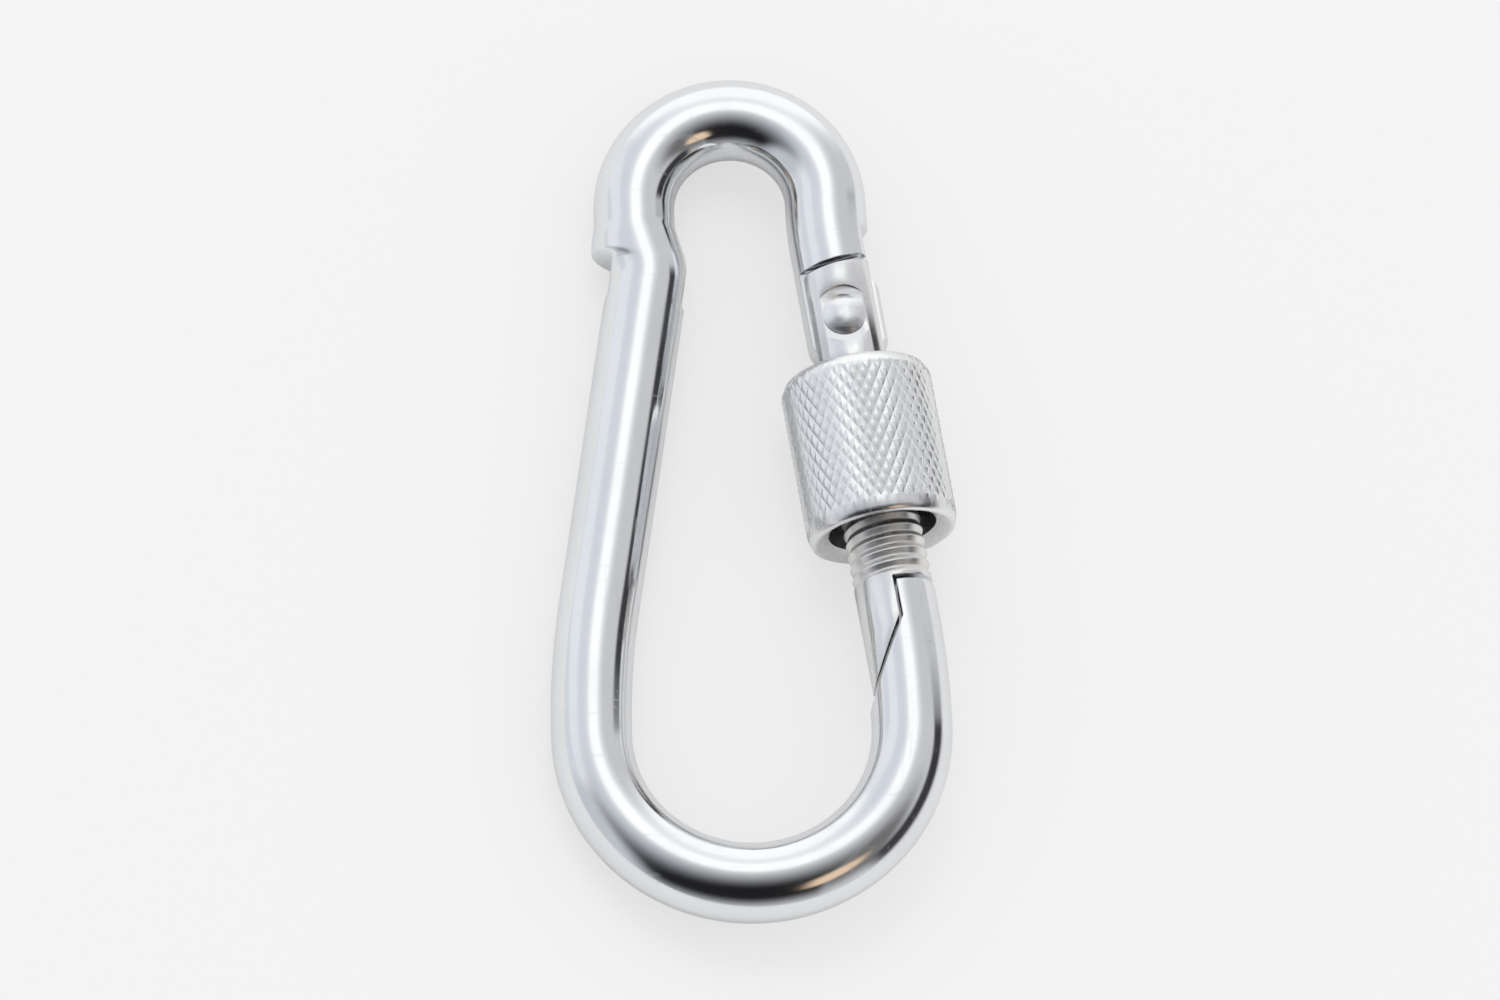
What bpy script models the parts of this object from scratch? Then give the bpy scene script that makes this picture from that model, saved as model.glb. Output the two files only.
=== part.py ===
"""Screw-lock snap hook: a wire bent into a pear, a sprung gate on a rivet, and a sleeve nut that locks it.

Metres, +Z up. The hook lies flat in the XY plane, narrow bow towards +Y, gate on the +X side.
The bends are laid out from the centre of the wide bow. Everything is then shifted so that the origin is
the middle of the whole part.

Places along the gate are distances from the hinge, counted down the gate's own axis.
"""

import math

import bmesh
import bpy
from mathutils import Matrix, Vector

# Body wire, and the bends of its middle line. The gate's sizes below set how far apart the bows are.
WIRE_DIAMETER = 0.0045
WIDE_BOW_RADIUS = 0.0089
NARROW_BOW_RADIUS = 0.00535
NARROW_BOW_OFFSET = -0.00015
SIDE_RADIUS = 0.0450
HINGE_BEND_RADIUS = 0.0200
BEND_TO_SHOULDER = 0.0012
NOSE_STRAIGHT = 0.001865

# Press marks: the spine steps inwards under the narrow bow, with a flat on each side
STEP_START = 0.00135
STEP_LENGTH = 0.00250
STEP_DEPTH = 0.00068
STEP_BEND_RADIUS = 0.0026
OUTER_FLAT_DEPTH = 0.00030
OUTER_FLAT_START = 0.00120
OUTER_FLAT_LENGTH = 0.00270
INNER_FLAT_DEPTH = 0.00018
INNER_FLAT_START = 0.00080
INNER_FLAT_LENGTH = 0.00300
HINGE_FLAT_DEPTH = 0.00030
HINGE_FLAT_LENGTH = 0.00250

# Hinge: a flat tongue on the body inside the gate's fork, the rivet through both
SHOULDER_TO_PIVOT = 0.0033
SHOULDER_SLOPE = math.radians(7.0)
SHOULDER_GAP = 0.00030
TONGUE_THICKNESS = 0.0020
TONGUE_END = 0.0020
TONGUE_CORNER = 0.00070
FORK_GAP = 0.00015
SLOT_END = 0.0031
FORK_CORNER = 0.00050
RIVET_DIAMETER = 0.0016
RIVET_HOLE_GAP = 0.00005
TONGUE_HOLE_GAP = 0.00010
RIVET_HEAD_DIAMETER = 0.0020
RIVET_HEAD_HEIGHT = 0.00038
RIVET_SEAT_GAP = 0.00003
SPOT_FACE_DIAMETER = 0.0033
SPOT_FACE_DEPTH = 0.00036
OPENING_ANGLE = math.radians(25.0)

# Gate rod, and the lap between its lip and the nose
GATE_DIAMETER = 0.0044
THREAD_SHOWN = 0.00344
LAP_END_GAP = 0.00030
LAP_LENGTH = 0.00210
LAP_RUNOUT = 0.00400
LAP_GAP = 0.00020
NOSE_EDGE = 0.00025
LIP_EDGE = 0.00015

# Spring and plunger in the gate's bore
BORE_DIAMETER = 0.0022
BORE_FLOOR = 0.0049
PLUNGER_DIAMETER = 0.0020
PLUNGER_GAP = 0.00015
PLUNGER_HEAD_LENGTH = 0.0019
PLUNGER_TAIL_DIAMETER = 0.0009
PLUNGER_TAIL_LENGTH = 0.0022
PLUNGER_EDGE = 0.00015
SPRING_WIRE = 0.00034
SPRING_DIAMETER = 0.0020
SPRING_SEAT_GAP = 0.00008
SPRING_TURNS = 8
SPRING_POINTS_A_TURN = 10

# Sleeve nut
NUT_DIAMETER = 0.0085
NUT_TOP = 0.00306
NUT_LENGTH = 0.00970
NUT_BORE_GAP = 0.00010
NUT_THREAD_LENGTH = 0.0031
NUT_MOUTH_DIAMETER = 0.0064
NUT_TOP_EDGE = 0.00075
NUT_BOTTOM_EDGE = 0.00035
NUT_MOUTH_EDGE = 0.00020
NUT_STOP_GAP = 0.00010

# How finely round shapes are cut into facets
WIRE_SIDES_RESOLUTION = 6
WIDE_BOW_STEPS = 26
NARROW_BOW_STEPS = 20
SIDE_STEPS = 3
BEND_STEPS = 3
ROD_STEPS = 32
NUT_STEPS = 48
SMALL_STEPS = 24
DOME_STEPS = 5
SPRING_SIDES_RESOLUTION = 1

# How far a cutter runs past what it cuts
OVERRUN = 0.0010

# Sizes that follow from the ones above
WIRE_RADIUS = WIRE_DIAMETER / 2
GATE_RADIUS = GATE_DIAMETER / 2
NOSE_END = NUT_TOP + NUT_LENGTH + THREAD_SHOWN
GATE_END = NOSE_END - LAP_END_GAP
BORE_END = GATE_END - BORE_FLOOR
NUT_TRAVEL = THREAD_SHOWN + NUT_LENGTH - NUT_THREAD_LENGTH - NUT_STOP_GAP
GATE_LINE = BEND_TO_SHOULDER + SHOULDER_TO_PIVOT + NOSE_END + NOSE_STRAIGHT
HINGE_LEG_X = NARROW_BOW_OFFSET + NARROW_BOW_RADIUS
SPINE_LEG_X = NARROW_BOW_OFFSET - NARROW_BOW_RADIUS


def direction(angle):
    """Unit vector in the XY plane, counted anticlockwise from +X."""
    return Vector((math.cos(angle), math.sin(angle), 0.0))


def gate_lean():
    """Lean of a run as long as the gate line that touches the wide bow's side curve and the hinge bend."""
    bends = SIDE_RADIUS + HINGE_BEND_RADIUS
    inwards = WIDE_BOW_RADIUS - HINGE_LEG_X
    return math.acos((bends - inwards) / math.hypot(bends, GATE_LINE)) - math.atan2(GATE_LINE, bends)


GATE_LEAN = gate_lean()
GATE_OUT = direction(GATE_LEAN)
GATE_DOWN = direction(GATE_LEAN - math.pi / 2)
GATE_SIDE_CENTRE = Vector((WIDE_BOW_RADIUS - SIDE_RADIUS, 0.0, 0.0))
PIVOT = GATE_SIDE_CENTRE + SIDE_RADIUS * GATE_OUT - (NOSE_STRAIGHT + NOSE_END) * GATE_DOWN
NARROW_BOW_Y = (SIDE_RADIUS + HINGE_BEND_RADIUS) * GATE_OUT.y + GATE_LINE * GATE_OUT.x
HINGE_BEND_CENTRE = Vector((HINGE_LEG_X + HINGE_BEND_RADIUS, NARROW_BOW_Y, 0.0))
SPINE_SIDE_CENTRE = Vector((SIDE_RADIUS - WIDE_BOW_RADIUS, 0.0, 0.0))
STEP_FOOT = Vector((SPINE_LEG_X + STEP_DEPTH, NARROW_BOW_Y - STEP_START - STEP_LENGTH, 0.0))


def spine_lean():
    """Lean of the straight run from the foot of the step that touches the wide bow's side curve."""
    away = STEP_FOOT - SPINE_SIDE_CENTRE
    return math.pi - math.atan2(away.y, away.x) - math.acos(SIDE_RADIUS / away.length)


SPINE_LEAN = spine_lean()
NUT_REACH = PIVOT + (NUT_TOP + NUT_LENGTH - NUT_BOTTOM_EDGE) * GATE_DOWN + NUT_DIAMETER / 2 * GATE_OUT
MIDDLE = Vector((
    (NUT_REACH.x - WIDE_BOW_RADIUS - WIRE_RADIUS) / 2,
    (NARROW_BOW_Y + NARROW_BOW_RADIUS - WIDE_BOW_RADIUS) / 2,
    0.0,
))
SHIFT = Matrix.Translation(-MIDDLE)


def gate_frame(distance=0.0):
    """Frame on the gate's axis: X outwards, Z up the gate towards the hinge, at a distance below it."""
    place = PIVOT + distance * GATE_DOWN
    axes = Matrix((GATE_OUT, Vector((0.0, 0.0, -1.0)), -GATE_DOWN)).transposed()
    return SHIFT @ Matrix.Translation(place) @ axes.to_4x4()


# Scene helpers

def clear_scene():
    """Remove whatever the file opens with."""
    for thing in list(bpy.data.objects):
        bpy.data.objects.remove(thing, do_unlink=True)


def new_collection(name):
    """A collection under the scene's own."""
    collection = bpy.data.collections.new(name)
    bpy.context.scene.collection.children.link(collection)
    return collection


def metal(name, color, roughness, metallic=1.0):
    """A Principled material."""
    material = bpy.data.materials.new(name)
    material.use_nodes = True
    shader = material.node_tree.nodes["Principled BSDF"]
    shader.inputs["Base Color"].default_value = (*color, 1.0)
    shader.inputs["Roughness"].default_value = roughness
    shader.inputs["Metallic"].default_value = metallic
    return material


def add_object(name, data, collection, frame=None):
    """Put a mesh or a curve in the scene."""
    thing = bpy.data.objects.new(name, data)
    thing.matrix_world = frame if frame is not None else Matrix.Identity(4)
    collection.objects.link(thing)
    return thing


def finish(thing, material):
    """Give a part its material and smooth shading with sharp edges."""
    thing.data.materials.clear()
    thing.data.materials.append(material)
    thing.data.shade_smooth()
    thing.data.set_sharp_from_angle(angle=math.radians(30.0))
    return thing


def as_mesh(thing, collection):
    """Replace a curve, or an object with modifiers, by its welded mesh."""
    bpy.context.view_layer.update()
    evaluated = thing.evaluated_get(bpy.context.evaluated_depsgraph_get())
    mesh = bpy.data.meshes.new_from_object(evaluated)
    shape = bmesh.new()
    shape.from_mesh(mesh)
    bmesh.ops.remove_doubles(shape, verts=shape.verts, dist=WIRE_DIAMETER / 50000)
    shape.to_mesh(mesh)
    shape.free()
    name = thing.name
    frame = thing.matrix_world.copy()
    bpy.data.objects.remove(thing, do_unlink=True)
    mesh.name = name
    return add_object(name, mesh, collection, frame)


# Shape helpers

def turned(name, profile, steps, collection, frame):
    """A turned solid. The profile holds (radius, height) points, down the outside, then up the inside."""
    mesh = bpy.data.meshes.new(name)
    shape = bmesh.new()
    corners = [shape.verts.new((radius, 0.0, height)) for radius, height in profile]
    for first, second in zip(corners, corners[1:]):
        shape.edges.new((first, second))
    if min(radius for radius, height in profile) > 0.0:
        shape.edges.new((corners[-1], corners[0]))
    shape.to_mesh(mesh)
    shape.free()
    thing = add_object(name, mesh, collection, frame)
    screw = thing.modifiers.new("turn", "SCREW")
    screw.axis = "Z"
    screw.steps = steps
    screw.render_steps = steps
    screw.use_merge_vertices = True
    screw.merge_threshold = WIRE_DIAMETER / 50000
    return as_mesh(thing, collection)


def tube(name, points, radius, resolution, collection, frame):
    """A round tube through the points, with flat ends."""
    curve = bpy.data.curves.new(name, "CURVE")
    curve.dimensions = "3D"
    curve.twist_mode = "Z_UP"
    curve.bevel_depth = radius
    curve.bevel_resolution = resolution
    curve.use_fill_caps = True
    spline = curve.splines.new("POLY")
    spline.points.add(len(points) - 1)
    for target, point in zip(spline.points, points):
        target.co = (*point, 1.0)
    return as_mesh(add_object(name, curve, collection, frame), collection)


def plate(name, outline, half_thickness, collection, frame):
    """A flat outline of (x, z) points, as thick as asked along the frame's Y."""
    curve = bpy.data.curves.new(name, "CURVE")
    curve.dimensions = "2D"
    curve.fill_mode = "BOTH"
    curve.extrude = half_thickness
    spline = curve.splines.new("POLY")
    spline.points.add(len(outline) - 1)
    for target, (x, z) in zip(spline.points, outline):
        target.co = (x, z, 0.0, 1.0)
    spline.use_cyclic_u = True
    stand_up = Matrix.Rotation(math.pi / 2, 4, "X")
    return as_mesh(add_object(name, curve, collection, frame @ stand_up), collection)


def box(name, low, high, collection, frame):
    """A block between two corners of the frame."""
    low = Vector(low)
    high = Vector(high)
    mesh = bpy.data.meshes.new(name)
    shape = bmesh.new()
    bmesh.ops.create_cube(shape, size=1.0)
    bmesh.ops.scale(shape, vec=high - low, verts=shape.verts)
    bmesh.ops.translate(shape, vec=(low + high) / 2, verts=shape.verts)
    shape.to_mesh(mesh)
    shape.free()
    return add_object(name, mesh, collection, frame)


def rod(name, radius, low, high, collection, frame, steps=SMALL_STEPS):
    """A cylinder along the frame's Z between two heights."""
    mesh = bpy.data.meshes.new(name)
    shape = bmesh.new()
    bmesh.ops.create_cone(
        shape, cap_ends=True, segments=steps, radius1=radius, radius2=radius, depth=high - low
    )
    bmesh.ops.translate(shape, vec=(0.0, 0.0, (low + high) / 2), verts=shape.verts)
    shape.to_mesh(mesh)
    shape.free()
    return add_object(name, mesh, collection, frame)


def cut(thing, cutter):
    """Take the cutter out of a part, and keep it as a hidden guide."""
    cutter.hide_render = True
    cutter.display_type = "WIRE"
    difference = thing.modifiers.new(cutter.name, "BOOLEAN")
    difference.operation = "DIFFERENCE"
    difference.solver = "EXACT"
    difference.object = cutter


# Body

def arc(centre, radius, start, end, steps):
    """Points along an arc, both ends included."""
    return [
        Vector(centre) + radius * direction(start + (end - start) * step / steps)
        for step in range(steps + 1)
    ]


def fillet(before, corner, after, radius, steps):
    """Points of the arc that rounds a corner between two straight runs."""
    inwards = (corner - before).normalized()
    outwards = (after - corner).normalized()
    turn = inwards.angle(outwards)
    side = 1.0 if inwards.cross(outwards).z > 0.0 else -1.0
    normal = side * Vector((-inwards.y, inwards.x, 0.0))
    centre = corner - math.tan(turn / 2) * radius * inwards + radius * normal
    start = math.atan2(-normal.y, -normal.x)
    return arc(centre, radius, start, start + side * turn, steps)


def body_path():
    """Middle line of the wire: from the nose round the wide bow, up the spine and over to the tongue."""
    nose = PIVOT + NOSE_END * GATE_DOWN
    gate_side = arc(GATE_SIDE_CENTRE, SIDE_RADIUS, GATE_LEAN, 0.0, SIDE_STEPS)
    wide_bow = arc((0.0, 0.0, 0.0), WIDE_BOW_RADIUS, 0.0, -math.pi, WIDE_BOW_STEPS)
    spine_side = arc(SPINE_SIDE_CENTRE, SIDE_RADIUS, math.pi, math.pi - SPINE_LEAN, SIDE_STEPS)
    leg_top = Vector((SPINE_LEG_X, NARROW_BOW_Y, 0.0))
    step_top = Vector((SPINE_LEG_X, NARROW_BOW_Y - STEP_START, 0.0))
    lower_bend = fillet(spine_side[-1], STEP_FOOT, step_top, STEP_BEND_RADIUS, BEND_STEPS)
    upper_bend = fillet(STEP_FOOT, step_top, leg_top, STEP_BEND_RADIUS, BEND_STEPS)
    narrow_centre = (NARROW_BOW_OFFSET, NARROW_BOW_Y, 0.0)
    narrow_bow = arc(narrow_centre, NARROW_BOW_RADIUS, math.pi, 0.0, NARROW_BOW_STEPS)
    hinge_bend = arc(HINGE_BEND_CENTRE, HINGE_BEND_RADIUS, math.pi, math.pi + GATE_LEAN, BEND_STEPS)
    tongue_end = PIVOT + TONGUE_END * GATE_DOWN
    return (
        [nose]
        + gate_side
        + wide_bow[1:]
        + spine_side[1:]
        + lower_bend
        + upper_bend
        + narrow_bow
        + hinge_bend[1:]
        + [tongue_end]
    )


def spine_frame(start):
    """Frame on the spine's line, X inwards and Z up it, at a distance below the step's upper bend."""
    inwards = direction(-SPINE_LEAN)
    upwards = direction(math.pi / 2 - SPINE_LEAN)
    place = STEP_FOOT + (STEP_LENGTH - start) * upwards
    axes = Matrix((inwards, Vector((0.0, 0.0, -1.0)), upwards)).transposed()
    return SHIFT @ Matrix.Translation(place) @ axes.to_4x4()


def press_flats(body, cutters):
    """Flats of the press tool on the spine's step and on the outer flank above the hinge."""
    outer = box(
        "outer_flat_cutter",
        (-WIRE_DIAMETER, -WIRE_DIAMETER, -OUTER_FLAT_LENGTH),
        (OUTER_FLAT_DEPTH - WIRE_RADIUS, WIRE_DIAMETER, 0.0),
        cutters,
        spine_frame(OUTER_FLAT_START),
    )
    cut(body, outer)
    inner = box(
        "inner_flat_cutter",
        (WIRE_RADIUS - INNER_FLAT_DEPTH, -WIRE_DIAMETER, -INNER_FLAT_LENGTH),
        (WIRE_DIAMETER, WIRE_DIAMETER, 0.0),
        cutters,
        spine_frame(INNER_FLAT_START),
    )
    cut(body, inner)
    flank = box(
        "flank_flat_cutter",
        (WIRE_RADIUS - HINGE_FLAT_DEPTH, -WIRE_DIAMETER, SHOULDER_TO_PIVOT),
        (WIRE_DIAMETER, WIRE_DIAMETER, SHOULDER_TO_PIVOT + HINGE_FLAT_LENGTH),
        cutters,
        gate_frame(),
    )
    cut(body, flank)


def corner_outline(x, z, x_way, z_way, size):
    """Triangle that takes a corner off at 45 degrees. The ways, 1 or -1, point out of the part."""
    past_x = x + x_way * OVERRUN
    past_z = z + z_way * OVERRUN
    return [
        (x - x_way * (size + OVERRUN), past_z),
        (past_x, z - z_way * (size + OVERRUN)),
        (past_x, past_z),
    ]


def cut_tongue(body, cutters):
    """Flatten the wire below the shoulder, drill it, and take the corners off its end."""
    slope = Matrix.Rotation(-SHOULDER_SLOPE, 4, "Y")
    shoulder = gate_frame() @ Matrix.Translation((0.0, 0.0, SHOULDER_TO_PIVOT)) @ slope
    drop = SHOULDER_TO_PIVOT + TONGUE_END + OVERRUN
    for side, name in ((1.0, "upper"), (-1.0, "lower")):
        near = side * TONGUE_THICKNESS / 2
        far = side * WIRE_DIAMETER
        block = box(
            f"{name}_cheek_cutter",
            (-WIRE_DIAMETER, min(near, far), -drop),
            (WIRE_DIAMETER, max(near, far), 0.0),
            cutters,
            shoulder,
        )
        cut(body, block)
    hole = rod(
        "tongue_hole_cutter",
        RIVET_DIAMETER / 2 + TONGUE_HOLE_GAP,
        -WIRE_DIAMETER,
        WIRE_DIAMETER,
        cutters,
        gate_frame() @ Matrix.Rotation(math.pi / 2, 4, "X"),
    )
    cut(body, hole)
    for side, name in ((1.0, "outer"), (-1.0, "inner")):
        outline = corner_outline(side * WIRE_RADIUS, -TONGUE_END, side, -1.0, TONGUE_CORNER)
        cut(body, plate(f"{name}_corner_cutter", outline, WIRE_DIAMETER, cutters, gate_frame()))


def lap_slant(offset):
    """Start and end of the lap's slanted face, on a face set outwards of the middle plane by an offset."""
    slope = LAP_RUNOUT / WIRE_RADIUS
    reach = WIRE_RADIUS + OVERRUN
    foot = NOSE_END + LAP_LENGTH + offset * math.tan(math.atan(slope) / 2)
    return (offset, -foot), (-reach, -foot - (reach + offset) * slope)


def cut_nose(body, cutters):
    """Take the inner half off the nose, where the gate's lip lies."""
    foot, tip = lap_slant(LAP_GAP / 2)
    outline = [(foot[0], OVERRUN - NOSE_END), foot, tip, (tip[0], OVERRUN - NOSE_END)]
    cut(body, plate("nose_lap_cutter", outline, WIRE_DIAMETER, cutters, gate_frame()))
    edge = corner_outline(WIRE_RADIUS, -NOSE_END, 1.0, 1.0, NOSE_EDGE)
    cut(body, plate("nose_edge_cutter", edge, WIRE_DIAMETER, cutters, gate_frame()))


def make_body(parts, cutters):
    """The bent wire with its press marks, tongue and nose."""
    body = tube("hook_body", body_path(), WIRE_RADIUS, WIRE_SIDES_RESOLUTION, parts, SHIFT)
    press_flats(body, cutters)
    cut_tongue(body, cutters)
    cut_nose(body, cutters)
    return finish(body, metal("bright_nickel", (0.72, 0.74, 0.77), 0.12))


# Gate

def fork_top_outline():
    """Outline of what is cut away above the fork: sloped like the shoulder, the inner corner taken off."""
    top = SHOULDER_TO_PIVOT - SHOULDER_GAP
    slope = math.tan(SHOULDER_SLOPE)
    side = GATE_RADIUS + OVERRUN
    inner = FORK_CORNER - GATE_RADIUS
    corner_drop = FORK_CORNER + OVERRUN
    above = SHOULDER_TO_PIVOT + GATE_DIAMETER
    return [
        (side, top + slope * side),
        (inner, top + slope * inner),
        (inner - corner_drop, top + slope * inner - corner_drop),
        (inner - corner_drop, above),
        (side, above),
    ]


def make_gate(parts, cutters):
    """The rod between hinge and nose: fork, bore, rivet seats and lip."""
    lip_end = NOSE_END + LAP_LENGTH + LAP_RUNOUT - LAP_GAP
    top = SHOULDER_TO_PIVOT + GATE_RADIUS
    profile = [
        (0.0, top),
        (GATE_RADIUS, top),
        (GATE_RADIUS, LIP_EDGE - lip_end),
        (GATE_RADIUS - LIP_EDGE, -lip_end),
        (0.0, -lip_end),
    ]
    gate = turned("gate", profile, ROD_STEPS, parts, gate_frame())
    cut(gate, plate("fork_top_cutter", fork_top_outline(), WIRE_DIAMETER, cutters, gate_frame()))
    slot_half = TONGUE_THICKNESS / 2 + FORK_GAP
    slot = box(
        "fork_slot_cutter",
        (-WIRE_DIAMETER, -slot_half, -SLOT_END),
        (WIRE_DIAMETER, slot_half, top + OVERRUN),
        cutters,
        gate_frame(),
    )
    cut(gate, slot)
    bore = rod("bore_cutter", BORE_DIAMETER / 2, -BORE_END, OVERRUN - SLOT_END, cutters, gate_frame())
    cut(gate, bore)
    across = gate_frame() @ Matrix.Rotation(math.pi / 2, 4, "X")
    hole = rod(
        "rivet_hole_cutter",
        RIVET_DIAMETER / 2 + RIVET_HOLE_GAP,
        -WIRE_DIAMETER,
        WIRE_DIAMETER,
        cutters,
        across,
    )
    cut(gate, hole)
    seat = GATE_RADIUS - SPOT_FACE_DEPTH
    for side, name in ((1.0, "lower"), (-1.0, "upper")):
        near = side * seat
        far = side * WIRE_DIAMETER
        face = rod(
            f"{name}_spot_face_cutter",
            SPOT_FACE_DIAMETER / 2,
            min(near, far),
            max(near, far),
            cutters,
            across,
        )
        cut(gate, face)
    foot, tip = lap_slant(-LAP_GAP / 2)
    past = tip[1] - OVERRUN
    outline = [(foot[0], -GATE_END), (-tip[0], -GATE_END), (-tip[0], past), (tip[0], past), tip, foot]
    cut(gate, plate("lip_cutter", outline, WIRE_DIAMETER, cutters, gate_frame()))
    return finish(gate, metal("gate_nickel", (0.70, 0.72, 0.74), 0.18))


# Rivet, plunger, spring

def dome(radius, base, height, steps):
    """(radius, height) points of a dome's outer side, from its top down to its rim."""
    ball = (radius ** 2 + height ** 2) / (2 * height)
    half = math.asin(radius / ball)
    angles = [half * step / steps for step in range(steps + 1)]
    return [(ball * math.sin(angle), base + height - ball * (1.0 - math.cos(angle))) for angle in angles]


def make_rivet(parts):
    """The hinge pin with a domed head on each cheek."""
    seat = GATE_RADIUS - SPOT_FACE_DEPTH + RIVET_SEAT_GAP
    shank = RIVET_DIAMETER / 2
    upper = dome(RIVET_HEAD_DIAMETER / 2, seat, RIVET_HEAD_HEIGHT, DOME_STEPS) + [(shank, seat)]
    lower = [(radius, -height) for radius, height in reversed(upper)]
    rivet = turned("hinge_rivet", upper + lower, SMALL_STEPS, parts, SHIFT @ Matrix.Translation(PIVOT))
    return finish(rivet, metal("rivet_steel", (0.66, 0.68, 0.70), 0.25))


def plunger_travel():
    """How far the tongue's end pushes the plunger in when the gate is fully open."""
    corner = WIRE_RADIUS - TONGUE_CORNER
    return TONGUE_END * (math.cos(OPENING_ANGLE) - 1.0) + corner * math.sin(OPENING_ANGLE)


def make_plunger(parts):
    """The pin that bears on the tongue's end, with a tail that guides the spring."""
    head = PLUNGER_DIAMETER / 2
    tail = PLUNGER_TAIL_DIAMETER / 2
    end = PLUNGER_HEAD_LENGTH + PLUNGER_TAIL_LENGTH
    profile = [
        (0.0, 0.0),
        (head - PLUNGER_EDGE, 0.0),
        (head, -PLUNGER_EDGE),
        (head, -PLUNGER_HEAD_LENGTH),
        (tail, -PLUNGER_HEAD_LENGTH),
        (tail, PLUNGER_EDGE - end),
        (tail - PLUNGER_EDGE, -end),
        (0.0, -end),
    ]
    frame = gate_frame(TONGUE_END + PLUNGER_GAP)
    plunger = turned("spring_plunger", profile, SMALL_STEPS, parts, frame)
    return finish(plunger, metal("plunger_steel", (0.45, 0.46, 0.48), 0.3))


def spring_points():
    """Middle line of the spring's wire, from the plunger's shoulder to the end of the bore."""
    start = TONGUE_END + PLUNGER_GAP + PLUNGER_HEAD_LENGTH + SPRING_SEAT_GAP + SPRING_WIRE / 2
    end = BORE_END - SPRING_SEAT_GAP - SPRING_WIRE / 2
    count = SPRING_TURNS * SPRING_POINTS_A_TURN
    radius = (SPRING_DIAMETER - SPRING_WIRE) / 2
    return [
        Vector((
            radius * math.cos(2 * math.pi * step / SPRING_POINTS_A_TURN),
            radius * math.sin(2 * math.pi * step / SPRING_POINTS_A_TURN),
            -start - (end - start) * step / count,
        ))
        for step in range(count + 1)
    ]


def least_gap(points, wire, skip):
    """Least clear distance of a wound wire to itself, between points at least so many steps apart."""
    return min(
        (points[first] - points[second]).length - wire
        for first in range(len(points))
        for second in range(first + skip, len(points))
    )


def make_spring(parts):
    """The coil that pushes the plunger against the tongue."""
    points = spring_points()
    gap = least_gap(points, SPRING_WIRE, SPRING_POINTS_A_TURN // 2)
    print(f"spring: least gap to itself {gap * 1000:.3f} mm")
    spring = tube("gate_spring", points, SPRING_WIRE / 2, SPRING_SIDES_RESOLUTION, parts, gate_frame())
    return finish(spring, metal("spring_steel", (0.30, 0.31, 0.33), 0.35))


# Nut

def make_nut(parts):
    """The sleeve nut: threaded at the top, widened below so that it passes over the nose."""
    outer = NUT_DIAMETER / 2
    bore = GATE_RADIUS + NUT_BORE_GAP
    mouth = NUT_MOUTH_DIAMETER / 2
    profile = [
        (bore, 0.0),
        (outer - NUT_TOP_EDGE, 0.0),
        (outer, -NUT_TOP_EDGE),
        (outer, NUT_BOTTOM_EDGE - NUT_LENGTH),
        (outer - NUT_BOTTOM_EDGE, -NUT_LENGTH),
        (mouth + NUT_MOUTH_EDGE, -NUT_LENGTH),
        (mouth, NUT_MOUTH_EDGE - NUT_LENGTH),
        (mouth, -NUT_THREAD_LENGTH),
        (bore, -NUT_THREAD_LENGTH),
    ]
    nut = turned("locking_nut", profile, NUT_STEPS, parts, gate_frame(NUT_TOP))
    return finish(nut, metal("nut_nickel", (0.74, 0.75, 0.77), 0.28))


def main():
    """Build the six parts and print the places that the record repeats."""
    clear_scene()
    parts = new_collection("screw_lock_snap_hook")
    cutters = new_collection("cutters")
    make_body(parts, cutters)
    make_gate(parts, cutters)
    make_rivet(parts)
    make_plunger(parts)
    make_spring(parts)
    make_nut(parts)
    pivot = SHIFT @ PIVOT
    length = NARROW_BOW_Y + NARROW_BOW_RADIUS + WIDE_BOW_RADIUS + WIRE_DIAMETER
    print(f"length {length:.6f}, spine lean {math.degrees(SPINE_LEAN):.3f}")
    print(f"wide bow centre {-MIDDLE.x:.6f} {-MIDDLE.y:.6f}")
    print(f"pivot {pivot.x:.6f} {pivot.y:.6f}, gate down {GATE_DOWN.x:.6f} {GATE_DOWN.y:.6f}")
    print(f"gate lean {math.degrees(GATE_LEAN):.3f}, nut travel {NUT_TRAVEL:.6f}")
    print(f"plunger travel {plunger_travel():.6f}, ratio {plunger_travel() / OPENING_ANGLE:.8f}")


main()
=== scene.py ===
"""Looks of a screw-lock snap hook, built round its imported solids.

Metres, +Z up, in the frame of the solids: the hook lies in the XY plane with its narrow bow towards
+Y and its gate on the +X side. Places along the gate are distances from the hinge, down its axis.
"""

import logging
import math
from collections.abc import Callable, Iterable, Sequence
from dataclasses import dataclass
from enum import Enum

import bmesh
import bpy
from bmesh.types import BMEdge, BMesh, BMVert
from bpy.types import ID, Material, Node, NodeSocket, NodeTree, Object
from mathutils import Matrix, Vector, noise


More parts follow.
